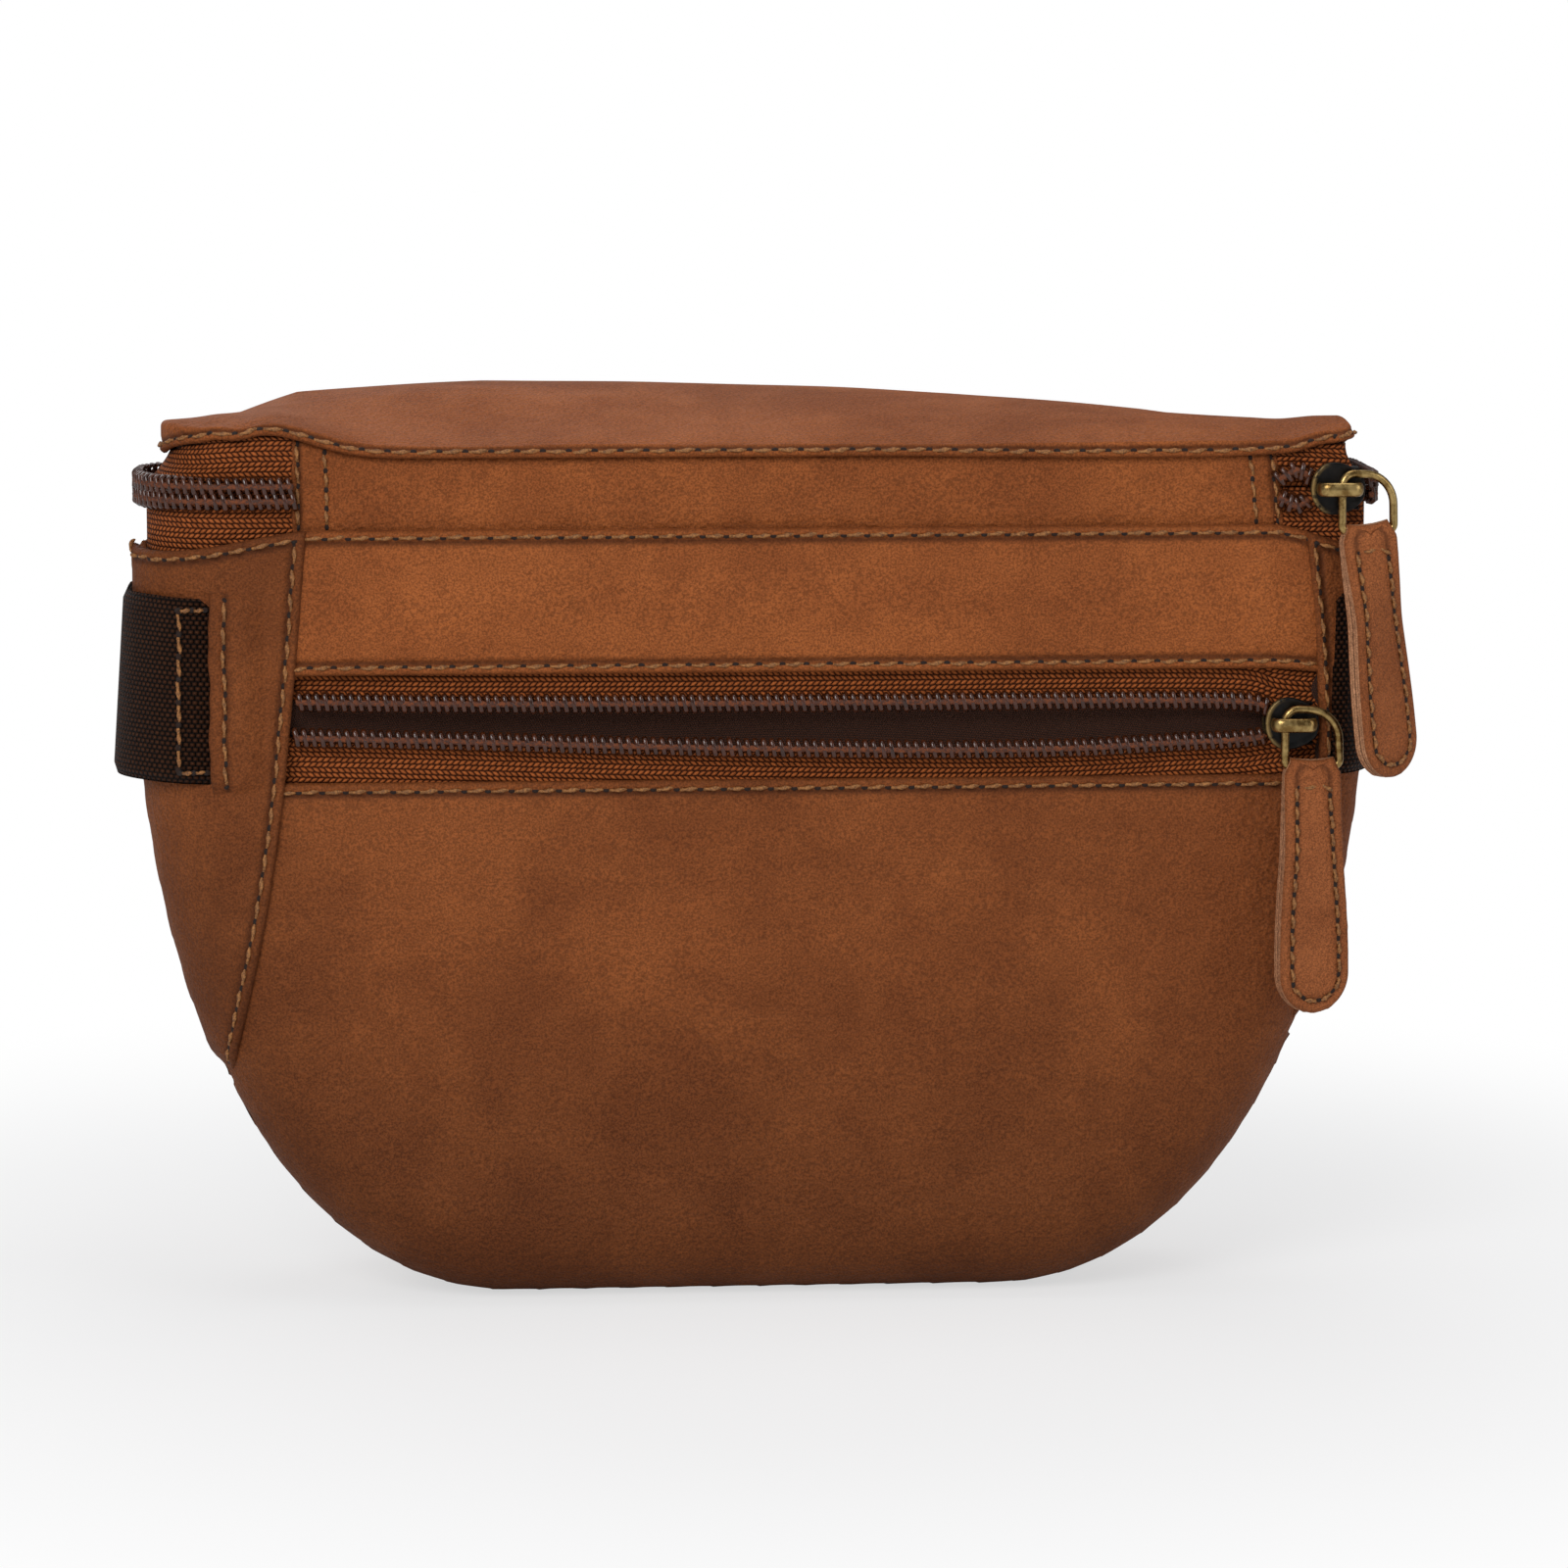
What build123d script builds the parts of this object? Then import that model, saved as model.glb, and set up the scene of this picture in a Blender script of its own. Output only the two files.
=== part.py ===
from build123d import *
import os
from math import acos, atan2, cos, degrees, hypot, radians, sin, sqrt, tan

# Leather waist pack: a zipped lid hinged along the near side (-Y), a zipped flat pocket on
# the same side, and a webbing belt that is buckled and folded behind the far side (+Y).
# Millimetres, +Z up. The origin is the middle of the flat base.

# ---------------------------------------------------------------- driving sizes
HALF_WIDTH = 125.5          # half of the pack's width at the zip
DEPTH = 70.0                # near side to the crown of the far side
NEAR_Y = -34.0              # outer face of the near side
BODY_TOP = 159.5            # top edge of the body panels
FAR_DROP = 36.3175          # the far side is an arc in plan: its crown to the level of its ends
BASE_HALF = 50.0            # half length of the flat of the base
BASE_HANDLE, SIDE_HANDLE = 42.0, 90.0   # how full the sides are between base and shoulder
SHOULDER_DROP = 19.5        # the sides stand upright above this depth below BODY_TOP
LEATHER = 1.6
LINING = 0.5
CLEARANCE = 0.3             # between pieces that move past each other
CORNER_LEFT = 20.0          # plan radius of the left near corner
CORNER_RIGHT = 13.0         # plan radius of the right near corner below the zip
CORNER_ZIP = 2.0            # the same corner at the zip and lid
CORNER_FAR = 12.0           # plan radius where the sides meet the far side
ROLL_NEAR = (15.0, 24.0)    # depth and height of the roll from the near side to the base
ROLL_FAR = (16.0, 30.0)     # the same at the far side
SEAM_Y = -12.0              # plane of the seam between near and far leather

# lid
ZIP_WINDOW = 14.3           # height between the body's top edge and the lid's lower edge
LID_EDGE = 2.6              # height of the lid's edge along the near side
LID_RISE = 6.0              # the lid is this much higher at its far edge
LID_CROWN = 3.4             # its middle is this much higher than its crown's ends
LID_OVERHANG = 9.0          # which lie this far beyond the pack's sides
LID_BULGE = 1.6             # swell of the lid's slope halfway back
BAND_THICK = 1.2
BAND_INSETS = (31.5, 19.0)  # ends of the hinge band, in from the left and right sides
BAND_TUCK = 0.8             # the band reaches this far up behind the lid's edge

# main zip
MAIN_RISE = 7.4             # zip centre line above the body's top edge
MAIN_SLIDER_INSET = 8.0     # slider centre and its turning axis, in from the right side
LID_TAPE_Y = -10.0          # the tape behind this plane is part of the lid
TAPE = 0.6
TAPE_TUCK = 6.0             # how far tape runs behind the leather
COIL_HEIGHT, COIL_THICK = 3.3, 2.4
ROW_GAP = 0.1               # half of the gap between closed rows

# pocket and its zip
POCKET_LIPS = (51.2, 29.5)  # lower and upper leather lips, below BODY_TOP
POCKET_DROP = 40.5          # zip centre line, below BODY_TOP
POCKET_SLIDER_INSET = 16.8  # slider centre, in from the right side
POCKET_ROWS = (32.5, 13.3)  # ends of the rows, in from the left and right sides
POCKET_ROW_BOW = 5.2        # how far an open row's middle lies from the centre line
POCKET_DEPTH = 6.0          # free depth
POCKET_SIDES = (27.5, 9.0)  # lining sides, in from the left and right sides
POCKET_FLOOR, POCKET_CEILING = 24.0, 140.0

# wing seams on the near side: insets from the sides at the top, middle and bottom, with heights
WING_LEFT = ((34.5, 159.5), (29.0, 100.0), (18.0, 46.0))
WING_RIGHT = ((14.5, 159.5), (10.7, 110.0), (16.0, 54.0))

# slider, pull ring and pull tab, the same on both zips
SLIDER_LENGTH = 10.8
NOSE_HALF, TAIL_HALF = 5.3, 4.6
PLATE, PLATE_FREE = 1.3, 0.4
POST_RADIUS = 0.9
FLANGE = 0.6
BRIDGE_LENGTH, BRIDGE_WIDTH, BRIDGE_THICK, BRIDGE_HOLE, BRIDGE_FOOT = 9.0, 2.4, 1.5, 2.8, 1.2
RING_WIRE, RING_WIDTH, RING_TOP, RING_BAR = 1.7, 11.0, 2.6, 8.6
RING_TIGHT, RING_ROUND = 1.3, 5.4
TAB_LENGTH, TAB_TOP, TAB_BOTTOM, TAB_THICK = 52.0, 11.8, 15.8, 3.6
TAB_CAP, TAB_CAP_INSET, TAB_HOLE_GAP = 1.9, 1.4, 0.08
LEG_OFFSETS = {"pocket": -1.9, "main": 0.3}   # the ring's leg, from the slider's centre
TAB_LEANS = {"pocket": 0.0, "main": 5.0}      # degrees from upright

# belt
WEBBING, STRAP = 38.0, 1.5
BELT_DROP = 32.5            # belt centre line, below BODY_TOP
STRAP_GAP = 0.3             # webbing to leather
SIDE_BULGE_LEFT = 3.5       # how far the left strap stands off the side
BAR_RUN, BAR_BEND = 8.0, 12.0   # straight webbing beside a buckle bar, and its bends
ANCHOR_CORNERS = (16.0, 9.0)  # bend of the left and right strap round the near corners
STRAP_TUCK = 9.0            # webbing behind the leather at the left slit
STRAP_START_RIGHT = 8.5     # the right strap's end, in from the right side
FOLD_RADIUS = 1.6           # webbing centre line at a turn of the folded belt
RUN_START_IN = 3.3          # degrees in from the far side's end, where the right strap meets it
FOLD_DEG = 22.5             # where the runs turn back, from the middle of the far side
SEWN_OVER = 26.0            # webbing returned beside itself behind each buckle bar

# side-release buckle
BUCKLE_WIDTH, BUCKLE_THICK = 48.0, 12.0
BAR_X, BAR_RADIUS, BAR_GAP = 34.0, 2.0, 0.15
SOCKET_END, SOCKET_MOUTH = -24.0, 4.0
SOCKET_WALL, SOCKET_SKIN = 3.0, 2.0
FRAME = 3.0                 # thickness of the arms that carry a strap bar
PRONG_Z, PRONG_THICK, PRONG_DEPTH = 14.0, 5.0, 6.8
PRONG_PIVOT_X = 7.5
PRONG_HEAD = (-17.0, -7.0)
PRONG_HEAD_REACH = 22.9
HEAD_CHAMFER = 1.5
PRONG_ROOM = 2.0            # free space inboard of a prong's root, to squeeze it
WINDOW_PLAY = 0.8
TONGUE_HEIGHT = 6.0
FRAME_DEPTH = 8.0
KEEPER_LENGTH, KEEPER_WALL, KEEPER_START = 9.0, 1.2, 6.5

TALL = 240.0                # taller than the pack, for cutting
WIDE = 460.0                # wider than the pack, for cutting

# ---------------------------------------------------------------- derived places
FAR_Y = NEAR_Y + DEPTH
FAR_RADIUS = (HALF_WIDTH**2 + FAR_DROP**2) / (2 * FAR_DROP)
FAR_CENTRE = FAR_Y - FAR_RADIUS
SIDE_TIP_Y = FAR_Y - FAR_DROP
LIP_Z = BODY_TOP + ZIP_WINDOW
MAIN_Z = BODY_TOP + MAIN_RISE
POCKET_Z = BODY_TOP - POCKET_DROP
POCKET_LOW, POCKET_HIGH = (BODY_TOP - drop for drop in POCKET_LIPS)
BELT_Z = BODY_TOP - BELT_DROP
SHOULDER_Z = BODY_TOP - SHOULDER_DROP
TAPE_Y = NEAR_Y + LEATHER
COIL_FRONT_Y = TAPE_Y - COIL_THICK
PLATE_FRONT_Y = COIL_FRONT_Y - PLATE_FREE - PLATE
RING_Y = PLATE_FRONT_Y - BRIDGE_HOLE / 2
POCKET_SLIDER_X = HALF_WIDTH - POCKET_SLIDER_INSET
MAIN_SLIDER_X = HALF_WIDTH - MAIN_SLIDER_INSET
FOLD_STEP = 2 * FOLD_RADIUS
RUN_RADIUS = FAR_RADIUS + STRAP_GAP + STRAP / 2
BAR_TURN = BAR_RADIUS + BAR_GAP + STRAP / 2
BUCKLE_Y = RUN_RADIUS + FAR_CENTRE + FOLD_STEP + STRAP / 2 + STRAP_GAP + BUCKLE_THICK / 2

os.makedirs("parts", exist_ok=True)


def save(shape, name):
    export_step(shape, f"parts/{name}.step")


def block(x, y, z):
    """A box from three (low, high) pairs."""
    (x0, x1), (y0, y1), (z0, z1) = x, y, z
    return Pos((x0 + x1) / 2, (y0 + y1) / 2, (z0 + z1) / 2) * Box(x1 - x0, y1 - y0, z1 - z0)


def everywhere(z0, z1):
    return block((-WIDE, WIDE), (-WIDE, WIDE), (z0, z1))


# ---------------------------------------------------------------- outer form
def front_face(inset):
    """The pack seen from the near side, in the XZ plane."""
    half = HALF_WIDTH - inset
    side = Bezier(
        (BASE_HALF, 0, inset),
        (BASE_HALF + BASE_HANDLE - inset, 0, inset),
        (half, 0, SHOULDER_Z - SIDE_HANDLE + inset),
        (half, 0, SHOULDER_Z),
    )
    edges = [
        side,
        mirror(side, Plane.YZ),
        Line((-BASE_HALF, 0, inset), (BASE_HALF, 0, inset)),
        Line((half, 0, SHOULDER_Z), (half, 0, TALL)),
        Line((half, 0, TALL), (-half, 0, TALL)),
        Line((-half, 0, TALL), (-half, 0, SHOULDER_Z)),
    ]
    return make_face(edges)


def plan_face(inset, right_corner):
    """The pack seen from above, in the XY plane; a negative inset stands proud."""
    left, right = (-HALF_WIDTH + CORNER_LEFT, NEAR_Y), (HALF_WIDTH - right_corner, NEAR_Y)
    left_side, right_side = (-HALF_WIDTH, NEAR_Y + CORNER_LEFT), (HALF_WIDTH, NEAR_Y + right_corner)
    left_bend = (left[0] - CORNER_LEFT * sqrt(0.5), left_side[1] - CORNER_LEFT * sqrt(0.5))
    right_bend = (right[0] + right_corner * sqrt(0.5), right_side[1] - right_corner * sqrt(0.5))
    outline = [
        Line(left, right),
        ThreePointArc(right, right_bend, right_side),
        Line(right_side, (HALF_WIDTH, SIDE_TIP_Y)),
        ThreePointArc((HALF_WIDTH, SIDE_TIP_Y), (0, FAR_Y), (-HALF_WIDTH, SIDE_TIP_Y)),
        Line((-HALF_WIDTH, SIDE_TIP_Y), left_side),
        ThreePointArc(left_side, left_bend, left),
    ]
    face = make_face(outline)
    tips = [v for v in face.vertices() if abs(v.Y - SIDE_TIP_Y) < 0.01]
    face = fillet(tips, CORNER_FAR)
    return face if inset == 0 else offset(face, amount=-inset)


def roll(wall_y, into, depth, rise, inset):
    """The curve from an upright side down and under to the base."""
    pull = 0.35
    return Bezier(
        (0, wall_y, rise),
        (0, wall_y, rise * pull + inset),
        (0, wall_y + into * (depth * pull + inset), inset),
        (0, wall_y + into * depth, inset),
    )


def profile_face(inset):
    """The pack seen from its right side, in the YZ plane."""
    near, far = NEAR_Y + inset, FAR_Y - inset
    (near_depth, near_rise), (far_depth, far_rise) = ROLL_NEAR, ROLL_FAR
    outline = [
        Line((0, near, TALL), (0, near, near_rise)),
        roll(near, 1, near_depth, near_rise, inset),
        Line((0, near + near_depth, inset), (0, far - far_depth, inset)),
        roll(far, -1, far_depth, far_rise, inset),
        Line((0, far, far_rise), (0, far, TALL)),
        Line((0, far, TALL), (0, near, TALL)),
    ]
    return make_face(outline)


def form(inset):
    """The solid outer form of the body, drawn in by a wall thickness."""
    front = extrude(Pos(0, -WIDE / 2, 0) * front_face(inset), amount=WIDE, dir=(0, 1, 0))
    plan = extrude(plan_face(inset, CORNER_RIGHT), amount=TALL, dir=(0, 0, 1))
    profile = extrude(Pos(-WIDE / 2, 0, 0) * profile_face(inset), amount=WIDE, dir=(1, 0, 0))
    return front & plan & profile


def ring_wall(inset, thick, z0, z1):
    """A band that follows the zip's plan outline, as tape or as a row of coil."""
    outer = plan_face(inset, CORNER_ZIP)
    inner = plan_face(inset + thick, CORNER_ZIP)
    return Pos(0, 0, z0) * extrude(outer - inner, amount=z1 - z0, dir=(0, 0, 1))


# ---------------------------------------------------------------- webbing
def ribbon(route, bends, thick, height):
    """Webbing on edge: a plan route of straight runs joined by tangent bends, given its thickness."""
    corners = []
    for before, at, after, radius in zip(route, route[1:], route[2:], bends):
        into = Vector(*at) - Vector(*before)
        out = Vector(*after) - Vector(*at)
        into, out = into.normalized(), out.normalized()
        cross = into.X * out.Y - into.Y * out.X
        side = 1 if cross > 0 else -1
        turn = acos(max(-1.0, min(1.0, into.dot(out))))
        cut = radius * tan(turn / 2)
        corners.append((Vector(*at), into, out, side, radius, cut))

    def edge_of(offset_side):
        """One long edge of the ribbon: a list of segments from start to end."""
        shift = offset_side * thick / 2
        first = (Vector(*route[1]) - Vector(*route[0])).normalized()
        last = (Vector(*route[-1]) - Vector(*route[-2])).normalized()
        here = Vector(*route[0]) + Vector(-first.Y, first.X) * shift
        segments = []
        for at, into, out, side, radius, cut in corners:
            start = at - into * cut + Vector(-into.Y, into.X) * shift
            end = at + out * cut + Vector(-out.Y, out.X) * shift
            centre = at - into * cut + Vector(-into.Y, into.X) * side * radius
            reach = radius - side * shift
            middle = centre + (at - centre).normalized() * reach
            if (start - here).length > 1e-4:
                segments.append(Line(here, start))
            segments.append(ThreePointArc(start, middle, end))
            here = end
        finish = Vector(*route[-1]) + Vector(-last.Y, last.X) * shift
        segments.append(Line(here, finish))
        return segments

    left, right = edge_of(1), edge_of(-1)
    caps = [Line(left[0] @ 0, right[0] @ 0), Line(left[-1] @ 1, right[-1] @ 1)]
    face = make_face(left + right + caps)
    return Pos(0, 0, BELT_Z - height / 2) * extrude(face, amount=height, dir=(0, 0, 1))


def polar(radius, deg):
    """A point about the far side's centre; 0 degrees is the crown and + is towards +X."""
    return (radius * sin(radians(deg)), FAR_CENTRE + radius * cos(radians(deg)))


def arc_corner(radius, deg_a, deg_b):
    """Where the tangents at two angles of that circle meet."""
    half = radians(deg_a - deg_b) / 2
    return polar(radius / cos(half), (deg_a + deg_b) / 2)


def turn_corners(radius, deg, way):
    """The two corners of a turn back from one run to the next one out."""
    x, y = polar(radius, deg)
    along = (way * cos(radians(deg)), -way * sin(radians(deg)))
    out = (sin(radians(deg)), cos(radians(deg)))
    first = (x + along[0] * FOLD_RADIUS, y + along[1] * FOLD_RADIUS)
    second = (first[0] + out[0] * FOLD_STEP, first[1] + out[1] * FOLD_STEP)
    return [first, second]


def leave_deg(radius, x, y):
    """The angle at which a straight run to a point leaves that circle, on the +X side."""
    distance = hypot(x, y - FAR_CENTRE)
    return degrees(atan2(x, y - FAR_CENTRE) + acos(radius / distance))


def strap_end(side, clear_radius):
    """The straight run up to a buckle bar, round it, and back beside itself; side is -1 or 1."""
    inner, outer = BUCKLE_Y - BAR_TURN, BUCKLE_Y + BAR_TURN
    lean = leave_deg(clear_radius, BAR_X + BAR_RUN, inner)
    slope = tan(radians(lean))
    back = (SEWN_OVER - BAR_RUN) * slope
    beside = (STRAP + CLEARANCE) / cos(radians(lean))
    points = [
        (side * (BAR_X + BAR_RUN), inner),
        (side * (BAR_X - BAR_TURN), inner),
        (side * (BAR_X - BAR_TURN), outer),
        (side * (BAR_X + BAR_RUN / 2), outer),
        (side * (BAR_X + SEWN_OVER), inner - back + beside),
    ]
    bends = [BAR_BEND, BAR_TURN - 0.02, BAR_TURN - 0.02, BAR_BEND]
    return points, bends, lean, slope


ANCHOR_Y = TAPE_Y + STRAP / 2
over_folds = RUN_RADIUS + FOLD_STEP + STRAP + STRAP_GAP
left_end, left_end_bends, left_lean, left_slope = strap_end(-1, over_folds)
left_x = HALF_WIDTH + SIDE_BULGE_LEFT + STRAP / 2
left_route = [
    (-HALF_WIDTH + CORNER_LEFT + STRAP_TUCK, ANCHOR_Y),
    (-left_x, ANCHOR_Y),
    (-left_x, left_end[0][1] - (left_x - BAR_X - BAR_RUN) * left_slope),
] + left_end
left_bends = [ANCHOR_CORNERS[0], CORNER_FAR] + left_end_bends
belt_left = ribbon(left_route, left_bends, STRAP, WEBBING)

# the right strap: round the side, three runs behind the far side, then the plug's bar
right_x = HALF_WIDTH + STRAP_GAP + STRAP / 2
middle_run, outer_run = RUN_RADIUS + FOLD_STEP, RUN_RADIUS + 2 * FOLD_STEP
right_end, right_end_bends, right_lean, right_slope = strap_end(1, outer_run)
run_start = degrees(atan2(HALF_WIDTH, SIDE_TIP_Y - FAR_CENTRE)) - RUN_START_IN
tip_x, tip_y = polar(RUN_RADIUS, run_start)
right_route = [
    (HALF_WIDTH - STRAP_START_RIGHT, ANCHOR_Y),
    (right_x, ANCHOR_Y),
    (right_x, tip_y - (right_x - tip_x) * tan(radians(run_start))),
    arc_corner(RUN_RADIUS, run_start, -FOLD_DEG),
    *turn_corners(RUN_RADIUS, -FOLD_DEG, -1),
    arc_corner(middle_run, FOLD_DEG, -FOLD_DEG),
    *turn_corners(middle_run, FOLD_DEG, 1),
    arc_corner(outer_run, FOLD_DEG, right_lean),
] + right_end
turn_bend = FOLD_RADIUS - 0.02
right_bends = [ANCHOR_CORNERS[1], CORNER_FAR + STRAP_GAP + STRAP / 2, RUN_RADIUS, turn_bend, turn_bend]
right_bends += [middle_run, turn_bend, turn_bend, outer_run] + right_end_bends
belt_right = ribbon(right_route, right_bends, STRAP, WEBBING)

# room for the webbing where it passes through the leather
left_slit = ribbon(left_route[:3], left_bends[:1], STRAP + 2 * CLEARANCE, WEBBING + 2 * CLEARANCE)
right_slit = ribbon(right_route[:3], right_bends[:1], STRAP + 2 * CLEARANCE, WEBBING + 2 * CLEARANCE)

# ---------------------------------------------------------------- leather body
outer = form(0)
inside = form(LEATHER)
below_top = everywhere(-1, BODY_TOP)
near_side = block((-WIDE, WIDE), (-WIDE, SEAM_Y), (-1, TALL))
shell = (outer - inside) & below_top
near_shell = shell & near_side
far_panel = shell - near_side


def wing_region(seam, side):
    """Everything outboard of a wing seam on the near side; side is -1 or 1."""
    top, middle, tip = [(side * (HALF_WIDTH - x), 0, z) for x, z in seam]
    outboard = side * WIDE / 2
    outline = [
        ThreePointArc(top, middle, tip),
        Line(tip, (outboard, 0, tip[2])),
        Line((outboard, 0, tip[2]), (outboard, 0, TALL)),
        Line((outboard, 0, TALL), (top[0], 0, TALL)),
        Line((top[0], 0, TALL), top),
    ]
    return extrude(Pos(0, -WIDE / 2, 0) * make_face(outline), amount=WIDE, dir=(0, 1, 0))


left_region = wing_region(WING_LEFT, -1)
right_region = wing_region(WING_RIGHT, 1)
wing_left = (near_shell & left_region) - left_slit
wing_right = (near_shell & right_region) - right_slit
near_panels = near_shell - left_region - right_region
near_panel_upper = near_panels & everywhere(POCKET_HIGH, BODY_TOP)
near_panel_lower = near_panels & everywhere(-1, POCKET_LOW)

band_x = (-HALF_WIDTH + BAND_INSETS[0], HALF_WIDTH - BAND_INSETS[1])
hinge_band = block(band_x, (TAPE_Y, TAPE_Y + BAND_THICK), (BODY_TOP - TAPE_TUCK, LIP_Z + BAND_TUCK))

# ---------------------------------------------------------------- linings
pocket_x = (-HALF_WIDTH + POCKET_SIDES[0], HALF_WIDTH - POCKET_SIDES[1])
pocket_back = TAPE_Y + POCKET_DEPTH + LINING
pocket_room = block(pocket_x, (TAPE_Y, pocket_back), (POCKET_FLOOR, POCKET_CEILING))
pocket_hollow = block(
    (pocket_x[0] + LINING, pocket_x[1] - LINING),
    (TAPE_Y + LINING, pocket_back - LINING),
    (POCKET_FLOOR + LINING, POCKET_CEILING - LINING),
)
pocket_mouth = block(
    (pocket_x[0] + LINING, pocket_x[1] - LINING),
    (TAPE_Y - 1, TAPE_Y + 2 * LINING),
    (POCKET_LOW - TAPE_TUCK, POCKET_HIGH + TAPE_TUCK),
)
lining_pocket = (pocket_room & inside) - (pocket_hollow & form(LEATHER + LINING)) - pocket_mouth
lining_pocket = lining_pocket - left_slit - right_slit

behind_pocket = block((-WIDE, WIDE), (pocket_back, WIDE), (-1, BODY_TOP - TAPE_TUCK))
behind_lining = block((-WIDE, WIDE), (pocket_back + LINING, WIDE), (-1, TALL))
lining_main = (inside & behind_pocket) - (form(LEATHER + LINING) & behind_lining)

# ---------------------------------------------------------------- lid
def lid_form(inset, drop):
    """The lid's outer form, or the same form drawn in and lowered."""
    near_top = LIP_Z + LID_EDGE - drop
    far_top = near_top + LID_RISE
    half_top = near_top + LID_RISE / 2 + LID_BULGE
    slope = [
        ThreePointArc((0, NEAR_Y, near_top), (0, (NEAR_Y + FAR_Y) / 2, half_top), (0, FAR_Y, far_top)),
        Line((0, FAR_Y, far_top), (0, FAR_Y, LIP_Z)),
        Line((0, FAR_Y, LIP_Z), (0, NEAR_Y, LIP_Z)),
        Line((0, NEAR_Y, LIP_Z), (0, NEAR_Y, near_top)),
    ]
    end_top = far_top - LID_CROWN
    end = HALF_WIDTH + LID_OVERHANG
    crown = [
        ThreePointArc((-end, 0, end_top), (0, 0, far_top), (end, 0, end_top)),
        Line((end, 0, end_top), (end, 0, LIP_Z)),
        Line((end, 0, LIP_Z), (-end, 0, LIP_Z)),
        Line((-end, 0, LIP_Z), (-end, 0, end_top)),
    ]
    along = extrude(Pos(-WIDE / 2, 0, 0) * make_face(slope), amount=WIDE, dir=(1, 0, 0))
    across = extrude(Pos(0, -WIDE / 2, 0) * make_face(crown), amount=WIDE, dir=(0, 1, 0))
    return extrude(plan_face(inset, CORNER_ZIP), amount=TALL, dir=(0, 0, 1)) & along & across


lid_panel = lid_form(0, 0) - lid_form(LEATHER, LEATHER)
lid_inset = LEATHER + BAND_THICK + CLEARANCE
lid_lining = lid_form(lid_inset, LEATHER) - lid_form(0, LEATHER + LINING)

# ---------------------------------------------------------------- main zip
between_bands = block(band_x, (-WIDE, NEAR_Y + 10), (-1, TALL))
lid_part = block((-WIDE, WIDE), (LID_TAPE_Y, WIDE), (-1, TALL))
end_part = block((-WIDE, WIDE), (-WIDE, LID_TAPE_Y - CLEARANCE), (-1, TALL))
left_part = block((-WIDE, 0), (-WIDE, WIDE), (-1, TALL))
inside_body = everywhere(BODY_TOP, TALL) + (inside & below_top)
parting_half = POST_RADIUS + CLEARANCE
parting_end = MAIN_SLIDER_X - SLIDER_LENGTH / 2 + 2 * POST_RADIUS + CLEARANCE
parting = block((0, parting_end), (-WIDE, NEAR_Y + 10), (MAIN_Z - parting_half, MAIN_Z + parting_half))

tape_low = ring_wall(LEATHER, TAPE, BODY_TOP - TAPE_TUCK, MAIN_Z - ROW_GAP)
main_tape_body = (tape_low - between_bands - parting) & inside_body
main_coil_body = ring_wall(LEATHER - COIL_THICK, COIL_THICK, MAIN_Z - ROW_GAP - COIL_HEIGHT, MAIN_Z - ROW_GAP)
main_coil_body = main_coil_body - between_bands - parting

tape_high = ring_wall(LEATHER, TAPE, MAIN_Z + ROW_GAP, LIP_Z + BAND_TUCK) - between_bands
main_tape_lid = tape_high & lid_part
tape_ends = (tape_high & end_part & everywhere(MAIN_Z, LIP_Z - CLEARANCE)) - parting
coil_high = ring_wall(LEATHER - COIL_THICK, COIL_THICK, MAIN_Z + ROW_GAP, MAIN_Z + ROW_GAP + COIL_HEIGHT)
coil_high = coil_high - between_bands
main_coil_lid = coil_high & lid_part
coil_ends = (coil_high & end_part) - parting

# ---------------------------------------------------------------- sliders, rings and tabs
def slider_body(x, z):
    """Two plates round a post, with flanges over the rows and a bridge for the pull ring."""
    half = SLIDER_LENGTH / 2
    outline = Polyline(
        (-half, 0, -NOSE_HALF / 2),
        (-half, 0, NOSE_HALF / 2),
        (-half / 2, 0, NOSE_HALF),
        (half, 0, TAIL_HALF),
        (half, 0, -TAIL_HALF),
        (-half / 2, 0, -NOSE_HALF),
        close=True,
    )
    plate = extrude(make_face(outline), amount=PLATE, dir=(0, 1, 0))
    back_y = TAPE_Y + TAPE + PLATE_FREE
    front = Pos(x, PLATE_FRONT_Y, z) * plate
    back = Pos(x, back_y, z) * plate
    post_x = x - half + POST_RADIUS
    post_y = (PLATE_FRONT_Y + back_y + PLATE) / 2
    post = Pos(post_x, post_y, z) * Rot(90, 0, 0) * Cylinder(POST_RADIUS, back_y + PLATE - PLATE_FRONT_Y)
    flange_y = (PLATE_FRONT_Y + PLATE / 2, TAPE_Y - PLATE_FREE)
    flange_base = block((x, x + half), flange_y, (z - TAIL_HALF, z + TAIL_HALF))
    flanges = flange_base - block((x - 1, x + WIDE), flange_y, (z - TAIL_HALF + FLANGE, z + TAIL_HALF - FLANGE))
    reach = BRIDGE_LENGTH / 2
    bridge_y = PLATE_FRONT_Y - BRIDGE_HOLE
    loop_z = (z - BRIDGE_WIDTH / 2, z + BRIDGE_WIDTH / 2)
    loop = block((x - reach, x + reach), (bridge_y - BRIDGE_THICK, PLATE_FRONT_Y), loop_z)
    eye = block((x - reach + BRIDGE_FOOT, x + reach - BRIDGE_FOOT), (bridge_y, PLATE_FRONT_Y), loop_z)
    return front + back + post + flanges + (loop - eye)


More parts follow.
